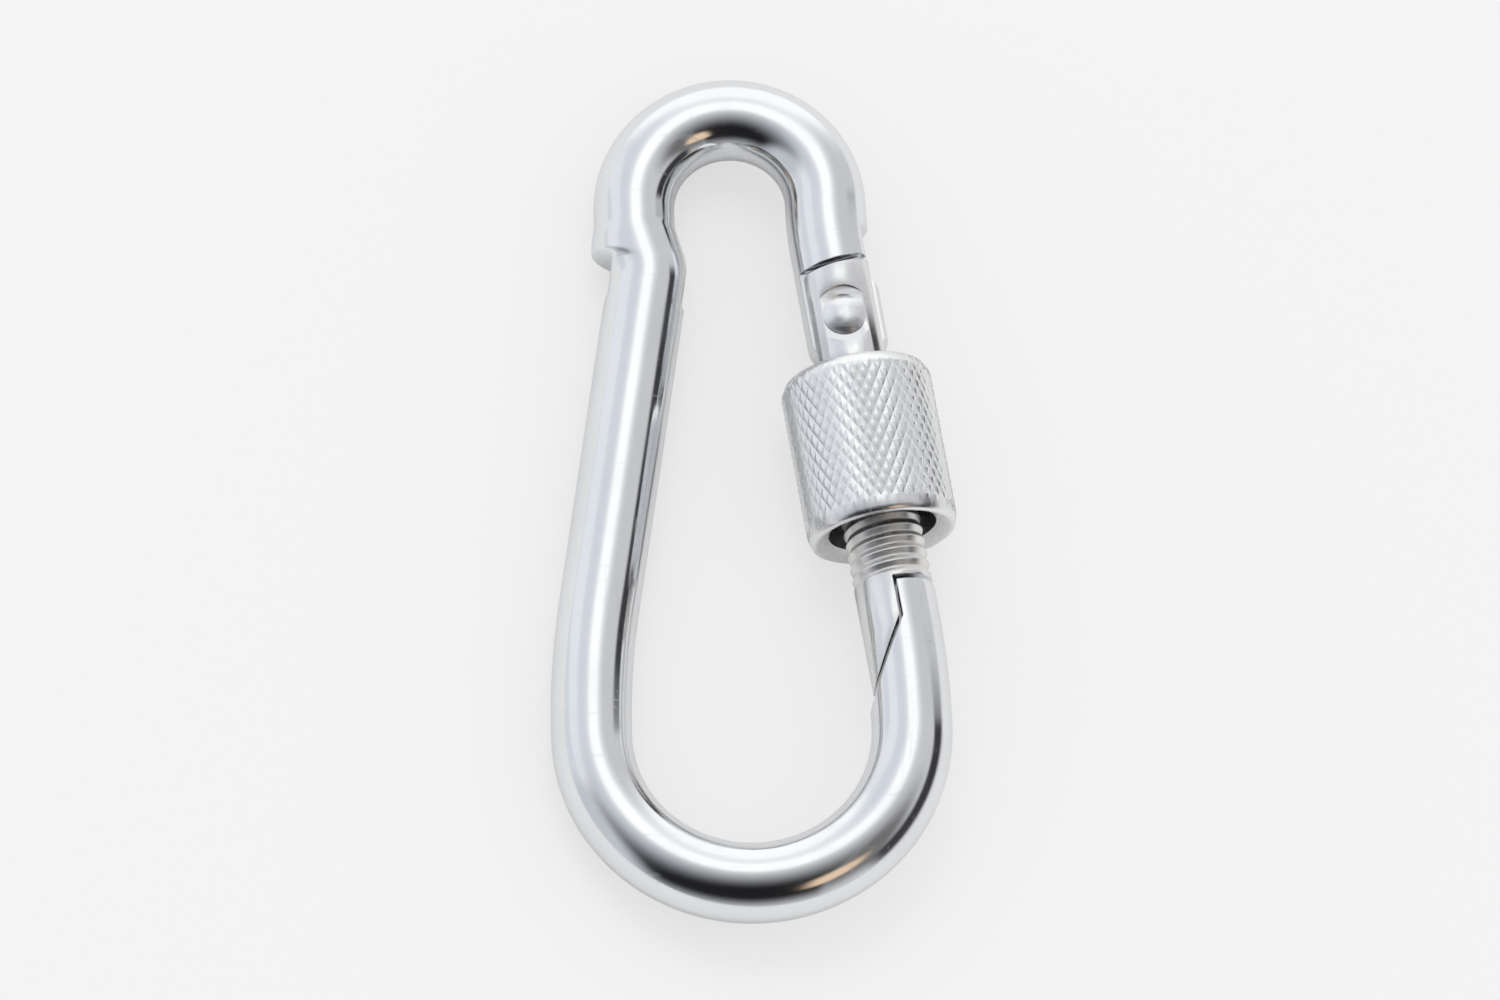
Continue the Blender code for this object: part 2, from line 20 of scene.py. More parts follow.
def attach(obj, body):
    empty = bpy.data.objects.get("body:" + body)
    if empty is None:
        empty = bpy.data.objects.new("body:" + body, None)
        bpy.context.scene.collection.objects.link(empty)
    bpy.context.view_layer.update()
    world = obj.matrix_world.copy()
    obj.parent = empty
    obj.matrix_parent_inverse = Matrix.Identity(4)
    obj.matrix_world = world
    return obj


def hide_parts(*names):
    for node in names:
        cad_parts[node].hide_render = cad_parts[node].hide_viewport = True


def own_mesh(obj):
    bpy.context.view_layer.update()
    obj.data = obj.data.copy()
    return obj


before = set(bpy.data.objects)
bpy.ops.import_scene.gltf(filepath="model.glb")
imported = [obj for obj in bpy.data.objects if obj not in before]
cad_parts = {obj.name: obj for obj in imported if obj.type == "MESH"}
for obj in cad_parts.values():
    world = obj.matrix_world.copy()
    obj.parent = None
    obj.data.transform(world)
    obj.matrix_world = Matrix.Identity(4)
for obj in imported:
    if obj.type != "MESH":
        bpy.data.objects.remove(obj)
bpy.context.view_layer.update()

WELD = 2e-6  # points nearer to each other than this become one
RUN_REACH = 0.004  # points further from a run's middle than this are on another run of the wire
WORN_ANGLE = math.radians(12.0)  # where faces meet at more than this, the plate wears
FULL_TURN = 2.0 * math.pi
QUARTER_TURN = math.pi / 2
ORIGIN = (0.0, 0.0, 0.0)
Z_AXIS = (0.0, 0.0, 1.0)

log = logging.getLogger("snap_hook")

Color = tuple[float, float, float]
Profile = Sequence[tuple[float, float]]
Reach = tuple[float | None, ...]


class Body(Enum):
    """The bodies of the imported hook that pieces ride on."""

    HOOK = "hook"
    GATE = "gate"
    PLUNGER = "plunger"
    NUT = "nut"


class Slot(Enum):
    """The record's material slots."""

    BODY = "bright_plate"
    GATE = "gate_plate"
    RIVET = "rivet_steel"
    SPRING = "spring_steel"
    PLUNGER = "plunger_steel"
    NUT = "nut_plate"


class Layer(Enum):
    """Values kept on a mesh's points for its material."""

    EDGE = "edge"
    HOLLOW = "hollow"


def heading_vector(angle: float) -> Vector:
    """Unit vector in the hook's plane, counted anticlockwise from +X."""
    return Vector((math.cos(angle), math.sin(angle), 0.0))


def fade(value: float, start: float, end: float) -> float:
    """Smooth climb from 0 at start to 1 at end."""
    share = min(max((value - start) / (end - start), 0.0), 1.0)
    return share * share * (3.0 - 2.0 * share)


def soft_floor(value: float, limit: float, softness: float) -> float:
    """The larger of a value and a limit, with the corner between them rounded.

    Args:
        value: what is limited.
        limit: the least that comes back.
        softness: size of the rounded corner.

    Returns:
        The limited value.
    """
    excess = (value - limit) / softness
    if excess > 30.0:  # the rounding is nothing here, and exp() would soon be too large
        return value
    return limit + softness * math.log1p(math.exp(excess))


def linked(name: str, data: ID) -> Object:
    """An object of the scene that holds a mesh, lamp or camera.

    Args:
        name: the object's name.
        data: what it holds.

    Returns:
        The object.
    """
    thing = bpy.data.objects.new(name, data)
    bpy.context.scene.collection.objects.link(thing)
    return thing


def mesh_object(name: str, shape: BMesh) -> Object:
    """Turn a mesh in the making into an object.

    Args:
        name: the object's name.
        shape: the mesh in the making, which is used up.

    Returns:
        The object.
    """
    mesh = bpy.data.meshes.new(name)
    shape.to_mesh(mesh)
    shape.free()
    return linked(name, mesh)


def spin(
    shape: BMesh,
    geometry: list,
    steps: int,
    angle: float = FULL_TURN,
    centre: Sequence[float] = ORIGIN,
    **settings: object,
) -> list:
    """Carry points and edges round an axis along Z, with faces left behind, and give the last ones."""
    turn = {"cent": centre, "axis": Z_AXIS, "angle": angle, "steps": steps}
    return bmesh.ops.spin(shape, geom=geometry, **turn, **settings)["geom_last"]


def ring(shape: BMesh, radius: float, sides: int, place: Matrix) -> list:
    """Lay a circle in a frame.

    Args:
        shape: the mesh.
        radius: of the circle.
        sides: how many edges it has.
        place: the frame, with the circle square to its Z.

    Returns:
        The circle's points and edges.
    """
    points = bmesh.ops.create_circle(shape, cap_ends=False, segments=sides, radius=radius)["verts"]
    bmesh.ops.transform(shape, matrix=place, verts=points)
    return list(points) + list({edge for point in points for edge in point.link_edges})


def seal(shape: BMesh, weld: float = WELD) -> BMesh:
    """Weld a skin's points, cap its open ends and face it outwards.

    Args:
        shape: the skin.
        weld: points nearer to each other than this become one.

    Returns:
        The same mesh, closed.
    """
    bmesh.ops.remove_doubles(shape, verts=shape.verts, dist=weld)
    rim = [edge for edge in shape.edges if edge.is_boundary]
    bmesh.ops.holes_fill(shape, edges=rim, sides=0)
    bmesh.ops.recalc_face_normals(shape, faces=shape.faces)
    return shape


def reshape(
    shape: BMesh, place: Matrix, low: float, high: float, rule: Callable[[Vector, Vector], float]
) -> None:
    """Move the points of one run of the wire sideways.

    Args:
        shape: the wire.
        place: frame of the run, X across it and Z along it.
        low: lower end of the stretch that changes, along Z.
        high: its upper end.
        rule: gives a point's new X from its place in the frame and its place in the hook.
    """
    back = place.inverted()
    for point in shape.verts:
        local = back @ point.co
        if abs(local.x) <= RUN_REACH and low < local.z < high:
            local.x = rule(local, point.co)
            point.co = place @ local


@dataclass(frozen=True)
class Layout:
    """The hook's lines and the sizes that several pieces share, as the solids have them."""

    wire_radius: float = 0.00225
    wide_bow: float = 0.0089
    narrow_bow: float = 0.00535
    narrow_offset: float = -0.00015
    side: float = 0.0450
    hinge_bend: float = 0.0200
    bend_to_shoulder: float = 0.0012
    shoulder: float = 0.0033
    nose_straight: float = 0.001865
    nose_end: float = 0.0162
    gate_radius: float = 0.0022
    gate_end: float = 0.0159
    nut_radius: float = 0.00425
    nut_top: float = 0.00306
    nut_length: float = 0.00970
    nut_bottom_edge: float = 0.00035
    step_start: float = 0.00135
    step_length: float = 0.00250
    step_depth: float = 0.00068
    tongue_thickness: float = 0.0020
    tongue_end: float = 0.0020
    rivet_radius: float = 0.0008
    lap_length: float = 0.0021
    lap_runout: float = 0.0040
    lap_gap: float = 0.0002
    lap_overrun: float = 0.0010
    shoulder_slope: float = math.radians(7.0)

    @property
    def gate_line(self) -> float:
        """Straight run from the hinge bend to the wide bow's side curve."""
        return self.bend_to_shoulder + self.shoulder + self.nose_end + self.nose_straight

    @property
    def lean(self) -> float:
        """Lean of the gate's line off the hook's length."""
        bends = self.side + self.hinge_bend
        inwards = self.wide_bow - (self.narrow_offset + self.narrow_bow)
        reach = math.hypot(bends, self.gate_line)
        return math.acos((bends - inwards) / reach) - math.atan2(self.gate_line, bends)

    @property
    def out(self) -> Vector:
        """Across the gate, outwards."""
        return heading_vector(self.lean)

    @property
    def down(self) -> Vector:
        """Along the gate, from hinge to nose."""
        return heading_vector(self.lean - QUARTER_TURN)

    @property
    def bend_pivot(self) -> Vector:
        """The hinge's axis, counted from the middle of the wide bow."""
        centre = Vector((self.wide_bow - self.side, 0.0, 0.0))
        return centre + self.side * self.out - (self.nose_straight + self.nose_end) * self.down

    @property
    def narrow_y(self) -> float:
        """Height of the narrow bow's middle over that of the wide bow."""
        return (self.side + self.hinge_bend) * self.out.y + self.gate_line * self.out.x

    @property
    def middle(self) -> Vector:
        """Middle of the whole hook, counted from the middle of the wide bow."""
        lowest = self.nut_top + self.nut_length - self.nut_bottom_edge
        nut = self.bend_pivot + lowest * self.down + self.nut_radius * self.out
        across = (nut.x - self.wide_bow - self.wire_radius) / 2
        along = (self.narrow_y + self.narrow_bow - self.wide_bow) / 2
        return Vector((across, along, 0.0))

    @property
    def pivot(self) -> Vector:
        """The hinge's axis."""
        return self.bend_pivot - self.middle

    @property
    def step_foot(self) -> Vector:
        """Foot of the spine's step."""
        across = self.narrow_offset - self.narrow_bow + self.step_depth
        along = self.narrow_y - self.step_start - self.step_length
        return Vector((across, along, 0.0)) - self.middle

    @property
    def spine_lean(self) -> float:
        """Lean of the spine's straight run off the hook's length."""
        away = self.step_foot + self.middle - Vector((self.side - self.wide_bow, 0.0, 0.0))
        return math.pi - math.atan2(away.y, away.x) - math.acos(self.side / away.length)

    def gate_frame(self, distance: float = 0.0) -> Matrix:
        """Frame on the gate's axis: X outwards, Z up towards the hinge.

        Args:
            distance: how far below the hinge the frame's origin lies.

        Returns:
            The frame, to be applied to a mesh made at the origin.
        """
        axes = Matrix((self.out, Vector((0.0, 0.0, -1.0)), -self.down)).transposed()
        return Matrix.Translation(self.pivot + distance * self.down) @ axes.to_4x4()

    def spine_frame(self) -> Matrix:
        """Frame at the foot of the spine's step: X inwards, Z up the spine.

        Returns:
            The frame, to be applied to a mesh made at the origin.
        """
        inwards = heading_vector(-self.spine_lean)
        upwards = heading_vector(QUARTER_TURN - self.spine_lean)
        axes = Matrix((inwards, Vector((0.0, 0.0, -1.0)), upwards)).transposed()
        return Matrix.Translation(self.step_foot) @ axes.to_4x4()

    def lap_slant(self, offset: float) -> tuple[tuple[float, float], tuple[float, float]]:
        """Ends of the lap's slanted face, on a face set off its middle plane.

        Args:
            offset: from the lap's middle plane, outwards.

        Returns:
            The inner end on the offset face and the end past the wire, both as (x, z) in the gate's frame.
        """
        slope = self.lap_runout / self.wire_radius
        reach = self.wire_radius + self.lap_overrun
        foot = self.nose_end + self.lap_length + offset * math.tan(math.atan(slope) / 2)
        return (offset, -foot), (-reach, -foot - (reach + offset) * slope)


LAYOUT = Layout()


class Turner:
    """Makes solids of revolution and threads by spinning a line round the Z axis."""

    @staticmethod
    def line(shape: BMesh, profile: Profile, closed: bool) -> list:
        """Lay a profile in the XZ plane.

        Args:
            shape: the mesh.
            profile: (radius, height) points.
            closed: whether the last point joins the first.

        Returns:
            The new points and edges.
        """
        points = [shape.verts.new((radius, 0.0, height)) for radius, height in profile]
        pairs = list(zip(points, points[1:]))
        if closed:
            pairs.append((points[-1], points[0]))
        return points + [shape.edges.new(pair) for pair in pairs]

    @classmethod
    def solid(cls, profile: Profile, steps: int) -> BMesh:
        """A turned solid.

        Args:
            profile: (radius, height) points, from the axis back to it, or a closed ring clear of it.
            steps: facets in a full turn.

        Returns:
            The closed solid.
        """
        shape = bmesh.new()
        closed = min(radius for radius, height in profile) > 0.0
        spin(shape, cls.line(shape, profile, closed), steps, use_merge=True)
        bmesh.ops.remove_doubles(shape, verts=shape.verts, dist=WELD)
        bmesh.ops.recalc_face_normals(shape, faces=shape.faces)
        return shape

    @staticmethod
    def helix(shape: BMesh, geometry: list, pitch: float, turns: float, steps: int) -> None:
        """Wind points and edges up round the Z axis, right-handed, with a number of steps in a turn."""
        spin(shape, geometry, round(steps * turns), FULL_TURN * turns, dvec=(0.0, 0.0, pitch / steps))


class Cutter:
    """Tools that are taken out of a piece, each made with one operator and placed by a frame."""

    drill_sides: int = 72

    @staticmethod
    def placed(name: str, shape: BMesh, place: Matrix) -> Object:
        """Move a tool to its frame and make it an object.

        Args:
            name: the tool's name.
            shape: the tool's mesh, which is used up.
            place: the tool's frame.

        Returns:
            The tool as an object.
        """
        bmesh.ops.transform(shape, matrix=place, verts=shape.verts)
        bmesh.ops.recalc_face_normals(shape, faces=shape.faces)
        return mesh_object(name, shape)

    @classmethod
    def block(cls, name: str, low: Sequence[float], high: Sequence[float], place: Matrix) -> Object:
        """A block between two corners.

        Args:
            name: the tool's name.
            low: the lowest corner.
            high: the highest corner.
            place: the tool's frame.

        Returns:
            The tool as an object.
        """
        shape = bmesh.new()
        bmesh.ops.create_cube(shape, size=1.0)
        bmesh.ops.scale(shape, vec=Vector(high) - Vector(low), verts=shape.verts)
        bmesh.ops.translate(shape, vec=(Vector(low) + Vector(high)) / 2, verts=shape.verts)
        return cls.placed(name, shape, place)

    @classmethod
    def drill(cls, name: str, radius: float, low: float, high: float, place: Matrix) -> Object:
        """A round tool along Z between two heights.

        Args:
            name: the tool's name.
            radius: of the tool.
            low: height of its lower end.
            high: height of its upper end.
            place: the tool's frame.

        Returns:
            The tool as an object.
        """
        shape = bmesh.new()
        size = {"radius1": radius, "radius2": radius, "depth": high - low}
        bmesh.ops.create_cone(shape, cap_ends=True, segments=cls.drill_sides, **size)
        bmesh.ops.translate(shape, vec=(0.0, 0.0, (low + high) / 2), verts=shape.verts)
        return cls.placed(name, shape, place)

    @classmethod
    def plate(cls, name: str, outline: Profile, place: Matrix) -> Object:
        """An outline of (x, z) points, extruded right through the wire.

        Args:
            name: the tool's name.
            outline: the points in order.
            place: the tool's frame.

        Returns:
            The tool as an object.
        """
        shape = bmesh.new()
        depth = 2.0 * LAYOUT.wire_radius
        face = shape.faces.new([shape.verts.new((x, -depth, z)) for x, z in outline])
        grown = bmesh.ops.extrude_face_region(shape, geom=[face])["geom"]
        moved = [item for item in grown if isinstance(item, BMVert)]
        bmesh.ops.translate(shape, vec=(0.0, 2.0 * depth, 0.0), verts=moved)
        return cls.placed(name, shape, place)


class Piece:
    """A mesh on its way to being a finished piece of the hook."""

    def __init__(self, name: str, shape: BMesh) -> None:
        """Make the piece's object, with its place in its mesh."""
        self.object = mesh_object(name, shape)

    def carve(self, tools: Sequence[Object]) -> None:
        """Take tools out of the piece, one after another, and remove them.

        Args:
            tools: the objects that are cut away.
        """
        for tool in tools:
            difference = self.object.modifiers.new(tool.name, "BOOLEAN")
            difference.operation = "DIFFERENCE"
            difference.solver = "EXACT"
            difference.object = tool
        bpy.context.view_layer.update()
        evaluated = self.object.evaluated_get(bpy.context.evaluated_depsgraph_get())
        mesh = bpy.data.meshes.new_from_object(evaluated)
        mesh.name = self.object.name
        rough = self.object.data
        self.object.modifiers.clear()
        self.object.data = mesh
        bpy.data.meshes.remove(rough)
        for tool in tools:
            bpy.data.objects.remove(tool, do_unlink=True)

    def soften(self, angle: float, width: float) -> None:
        """Round the edges that are sharper than an angle.

        Args:
            angle: the least angle between two faces, in degrees.
            width: how far the rounding reaches on each side.
        """
        shape = bmesh.new()
        shape.from_mesh(self.object.data)
        bmesh.ops.remove_doubles(shape, verts=shape.verts, dist=width / 3)
        bmesh.ops.dissolve_degenerate(shape, edges=shape.edges, dist=width / 4)
        limit = math.radians(angle)
        sharp = [edge for edge in shape.edges if edge.is_manifold and edge.calc_face_angle() > limit]
        form = {"segments": 2, "profile": 0.5, "material": -1, "clamp_overlap": True}
        bmesh.ops.bevel(shape, geom=sharp, offset=width, offset_type="OFFSET", affect="EDGES", **form)
        shape.to_mesh(self.object.data)
        shape.free()

    def record(self, layer: Layer, rule: Callable[[BMVert], float]) -> None:
        """Keep a value on each point for the material.

        Args:
            layer: the value's name.
            rule: gives the value of a point.
        """
        shape = bmesh.new()
        shape.from_mesh(self.object.data)
        values = shape.verts.layers.float.new(layer.value)
        for point in shape.verts:
            point[values] = rule(point)
        shape.to_mesh(self.object.data)
        shape.free()

    def finish(
        self,
        body: Body,
        node: str,
        slot: Slot,
        finish: "Finish",
        hollow: Callable[[BMVert], float] = lambda point: 0.0,
        sharp: float = 40.0,
    ) -> None:
        """Shade the piece, dress it, and tie it to its body and the solid that it stands for.

        Args:
            body: what it moves with.
            node: the solid that it replaces.
            slot: the record's finish; not used.
            finish: the material's maker.
            hollow: gives how deep in a groove a point lies, from 0 to 1.
            sharp: edges above this angle, in degrees, keep a crease.
        """

        def worn(point: BMVert) -> float:
            """1 on a corner of the piece, 0 elsewhere."""
            angles = [edge.calc_face_angle(0.0) for edge in point.link_edges]
            return 1.0 if max(angles, default=0.0) > WORN_ANGLE else 0.0

        self.record(Layer.HOLLOW, hollow)
        self.record(Layer.EDGE, worn)
        mesh = self.object.data
        mesh.materials.clear()
        mesh.materials.append(finish.material())
        mesh.shade_smooth()
        mesh.set_sharp_from_angle(angle=math.radians(sharp))
        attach(self.object, body.value)
        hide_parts(node)
        log.info("%s: %d faces, rides on %s", self.object.name, len(mesh.polygons), body.value)


class Sheet:
    """A node tree with short calls for adding and joining nodes."""

    def __init__(self, tree: NodeTree) -> None:
        """Take a tree that nodes are added to."""
        self.tree = tree

    def add(self, kind: str, **settings: object) -> Node:
        """Add a node and set its properties.

        Args:
            kind: the node's type.
            settings: its properties by name.

        Returns:
            The node.
        """
        node = self.tree.nodes.new(kind)
        for name, value in settings.items():
            setattr(node, name, value)
        return node

    def feed(self, socket: NodeSocket, value: object) -> None:
        """Give an input a value, or join an output to it.

        Args:
            socket: the input.
            value: a plain value or another node's output.
        """
        if isinstance(value, NodeSocket):
            self.tree.links.new(value, socket)
        else:
            socket.default_value = value

    def fill(self, node: Node, **values: object) -> Node:
        """Feed a node's inputs, named with underscores for spaces.

        Args:
            node: the node.
            values: plain values or outputs, by the inputs' names.

        Returns:
            The node.
        """
        for label, value in values.items():
            self.feed(node.inputs[label.replace("_", " ")], value)
        return node

    def place(self) -> NodeSocket:
        """A point's place on its object."""
        return self.add("ShaderNodeTexCoord").outputs["Object"]

    def kept(self, layer: Layer) -> NodeSocket:
        """A value kept on the mesh's points."""
        return self.add("ShaderNodeAttribute", attribute_name=layer.value).outputs["Fac"]

    def math(self, operation: str, *values: object) -> NodeSocket:
        """A Math node's result.

        Args:
            operation: what it does.
            values: its inputs in order.

        Returns:
            The result's socket.
        """
        node = self.add("ShaderNodeMath", operation=operation)
        for socket, value in zip(node.inputs, values):
            self.feed(socket, value)
        return node.outputs["Value"]

    def span(
        self, value: object, start: float, end: float, first: float = 0.0, last: float = 1.0
    ) -> NodeSocket:
        """A value's smooth way from first at start to last at end.

        Args:
            value: what is followed.
            start: the value at which the way starts.
            end: the value at which it ends.
            first: the result up to start.
            last: the result from end on.

        Returns:
            The result's socket.
        """
        node = self.add("ShaderNodeMapRange", interpolation_type="SMOOTHSTEP")
        self.fill(node, Value=value, From_Min=start, From_Max=end, To_Min=first, To_Max=last)
        return node.outputs["Result"]

    def stretched(self, vector: object, scale: Sequence[float], turn: Sequence[float]) -> NodeSocket:
        """Coordinates stretched and turned, so that a pattern runs as lines."""
        node = self.fill(self.add("ShaderNodeMapping"), Vector=vector, Rotation=turn, Scale=scale)
        return node.outputs["Vector"]

    def noise(self, vector: object, scale: object, detail: float, roughness: float = 0.5) -> NodeSocket:
        """A noise pattern's value.

        Args:
            vector: where it is looked up.
            scale: how many waves fit in a metre.
            detail: how many finer layers it has.
            roughness: how strong they are.

        Returns:
            The result's socket.
        """
        node = self.add("ShaderNodeTexNoise", noise_dimensions="3D")
        self.fill(node, Vector=vector, Scale=scale, Detail=detail, Roughness=roughness)
        return node.outputs["Fac"]

    def blend(self, share: object, first: object, second: object) -> NodeSocket:
        """A mix of two colours.

        Args:
            share: how much of the second shows.
            first: the colour at 0.
            second: the colour at 1.

        Returns:
            The result's socket.
        """
        node = self.add("ShaderNodeMix", data_type="RGBA")
        for index, value in ((0, share), (6, first), (7, second)):
            self.feed(node.inputs[index], value)
        return node.outputs[2]


def new_material(name: str) -> tuple[Material, Sheet, Node]:
    """A node material, its sheet and its Principled shader.

    Args:
        name: the material's name.

    Returns:
        The material, the sheet on its tree, and the shader's node.
    """
    material = bpy.data.materials.new(name)
    material.use_nodes = True
    return material, Sheet(material.node_tree), material.node_tree.nodes["Principled BSDF"]


class Effect:
    """A surface effect that several materials share, kept as a node group.

    Every effect takes the surface's Vector, the numbers in inputs, and gives out one number.
    """

    name: str
    inputs: dict[str, float]
    output: str = "Mask"

    def draw(self, sheet: Sheet, given: Sequence[NodeSocket]) -> NodeSocket:
        """Lay out the group's nodes, from its inputs to what it gives out."""
        raise NotImplementedError

    def group(self) -> NodeTree:
        """The node group, made on first use.

        Returns:
            The group's tree.
        """
        if self.name in bpy.data.node_groups:
            return bpy.data.node_groups[self.name]
        tree = bpy.data.node_groups.new(self.name, "ShaderNodeTree")
        tree.interface.new_socket("Vector", in_out="INPUT", socket_type="NodeSocketVector")
        for label, default in self.inputs.items():
            socket = tree.interface.new_socket(label, in_out="INPUT", socket_type="NodeSocketFloat")
            socket.default_value = default
        tree.interface.new_socket(self.output, in_out="OUTPUT", socket_type="NodeSocketFloat")
        sheet = Sheet(tree)
        drawn = self.draw(sheet, sheet.add("NodeGroupInput").outputs)
        sheet.fill(sheet.add("NodeGroupOutput"), **{self.output: drawn})
        return tree

    def place(self, sheet: Sheet, **values: object) -> NodeSocket:
        """Put the effect in a material.

        Args:
            sheet: the material's tree.
            values: the effect's inputs by name.

        Returns:
            What the effect gives out.
        """
        node = sheet.fill(sheet.add("ShaderNodeGroup", node_tree=self.group()), **values)
        return node.outputs[self.output]


class FineScratches(Effect):
    """Hairlines left by keys and pockets, in two crossing directions."""

    name = "fine_scratches"
    inputs = {"Scale": 2800.0, "Density": 0.1}
    directions = (((0.3, 0.2, 0.5), (1.0, 0.06, 0.5)), ((0.1, 0.5, -0.9), (0.07, 1.0, 0.4)))
    rarest: float = 0.72
    softness: float = 0.03

    def draw(self, sheet: Sheet, given: Sequence[NodeSocket]) -> NodeSocket:
        """Two stretched noises, cut to thin lines, the stronger of the two kept.

        Args:
            sheet: the group's tree.
            given: the group's inputs.

        Returns:
            1 on a hairline, 0 elsewhere.
        """
        level = sheet.math("SUBTRACT", self.rarest, given["Density"])
        lines = []
        for turn, scale in self.directions:
            vector = sheet.stretched(given["Vector"], scale, turn)
            past = sheet.math("SUBTRACT", sheet.noise(vector, given["Scale"], 2.0), level)
            lines.append(sheet.span(past, 0.0, self.softness))
        return sheet.math("MAXIMUM", *lines)


class PlatingMottle(Effect):
    """Slow changes in how bright and how smooth the plate is."""

    name = "plating_mottle"
    inputs = {"Scale": 300.0}
    output = "Value"
    clean: float = 0.35
    cloudy: float = 0.68

    def draw(self, sheet: Sheet, given: Sequence[NodeSocket]) -> NodeSocket:
        """A layered noise, 0 where the plate is clean and 1 where it is cloudy."""
        return sheet.span(sheet.noise(given["Vector"], given["Scale"], 4.0, 0.6), self.clean, self.cloudy)


class BrokenMask(Effect):
    """A mask such as a worn edge or a hollow, broken up so that it doesn't look painted on."""

    name = "broken_mask"
    inputs = {"Mask": 0.0, "Scale": 2500.0, "Breakup": 0.5}
    gone: float = 0.38
    whole: float = 0.60

    def draw(self, sheet: Sheet, given: Sequence[NodeSocket]) -> NodeSocket:
        """The mask times a noise that takes part of it away.

        Args:
            sheet: the group's tree.
            given: the group's inputs.

        Returns:
            The broken mask.
        """
        whole = sheet.span(sheet.noise(given["Vector"], given["Scale"], 3.0), self.gone, self.whole)
        loss = sheet.math("MULTIPLY", given["Breakup"], sheet.math("SUBTRACT", 1.0, whole))
        return sheet.math("MULTIPLY", given["Mask"], sheet.math("SUBTRACT", 1.0, loss))


@dataclass(frozen=True)
class Finish:
    """A metal finish.

    Attributes:
        name: the material's name.
        plate: colour of the clean plate.
        dull: colour where the plate is cloudy.
        smooth: roughness of the clean plate.
        cloudy: roughness where it is cloudy.
        hollow: colour painted in a groove: painted shade where it is darker than the plate, painted light
            where lighter.
        groove_roughness: what a groove adds to the roughness.
        scratched: what a hairline adds to it.
        rubbed: what a worn edge adds to it.
        mottle: how many cloudy patches fit in a metre.
        scratches: share of the surface under hairlines.
        grain: depth of the fine unevenness, in metres.
        waves: how many of its waves fit in a metre.
        scratch_depth: depth of a hairline, as a share of the grain.
    """

    name: str
    plate: Color
    dull: Color
    smooth: float
    cloudy: float
    hollow: Color = (0.5, 0.5, 0.5)
    groove_roughness: float = 0.32
    scratched: float = 0.10
    rubbed: float = 0.08
    mottle: float = 260.0
    scratches: float = 0.06
    grain: float = 0.000002
    waves: float = 900.0
    scratch_depth: float = 0.25

    def material(self) -> Material:
        """The finish as a node material.

        Returns:
            The material.
        """
        material, sheet, shader = new_material(self.name)
        place = sheet.place()
        edge, hollow = sheet.kept(Layer.EDGE), sheet.kept(Layer.HOLLOW)
        clouds = PlatingMottle().place(sheet, Vector=place, Scale=self.mottle)
        lines = FineScratches().place(sheet, Vector=place, Density=self.scratches)
        worn = BrokenMask().place(sheet, Vector=place, Mask=edge, Breakup=0.6)
        # painted shade and light in grooves: darker on the nut's knurl and mouth, lighter and warmer on the
        # gate's thread
        groove_paint = BrokenMask().place(sheet, Vector=place, Mask=hollow, Scale=1800.0, Breakup=0.35)
        color = sheet.blend(clouds, (*self.plate, 1.0), (*self.dull, 1.0))
        color = sheet.blend(groove_paint, color, (*self.hollow, 1.0))
        rough = sheet.math("MULTIPLY_ADD", clouds, self.cloudy - self.smooth, self.smooth)
        for mask, added in ((lines, self.scratched), (worn, self.rubbed), (groove_paint, self.groove_roughness)):
            rough = sheet.math("MULTIPLY_ADD", mask, added, rough)
        wave = sheet.noise(place, self.waves, 2.0)
        height = sheet.math("MULTIPLY_ADD", lines, -self.scratch_depth, wave)
        bump = sheet.fill(sheet.add("ShaderNodeBump"), Strength=1.0, Distance=self.grain, Height=height)
        normal = bump.outputs["Normal"]
        sheet.fill(shader, Metallic=1.0, Base_Color=color, Roughness=rough, Normal=normal)
        return material


BRIGHT_PLATE = Finish("polished_nickel", (0.92, 0.93, 0.945), (0.89, 0.90, 0.92), 0.10, 0.15)
# the gate's groove colour is painted light: lighter and warmer than the plate, it brightens the thread
GATE_PLATE = Finish(
    "gate_nickel", (0.91, 0.915, 0.92), (0.87, 0.875, 0.88), 0.12, 0.18, (0.97, 0.95, 0.915), groove_roughness=0.26
)
# the nut's groove colour is painted shade: a darker grey in the knurl's valleys and inside the mouth
NUT_PLATE = Finish(
    "knurled_nickel", (0.98, 0.985, 0.99), (0.95, 0.96, 0.97), 0.15, 0.20, (0.90, 0.91, 0.92), groove_roughness=0.06
)
RIVET_STEEL = Finish("peened_steel", (0.96, 0.97, 0.99), (0.92, 0.93, 0.95), 0.22, 0.30)
SPRING_STEEL = Finish("drawn_steel", (0.36, 0.37, 0.39), (0.28, 0.29, 0.31), 0.30, 0.42)
PLUNGER_STEEL = Finish("turned_steel", (0.52, 0.53, 0.55), (0.44, 0.45, 0.47), 0.25, 0.36)


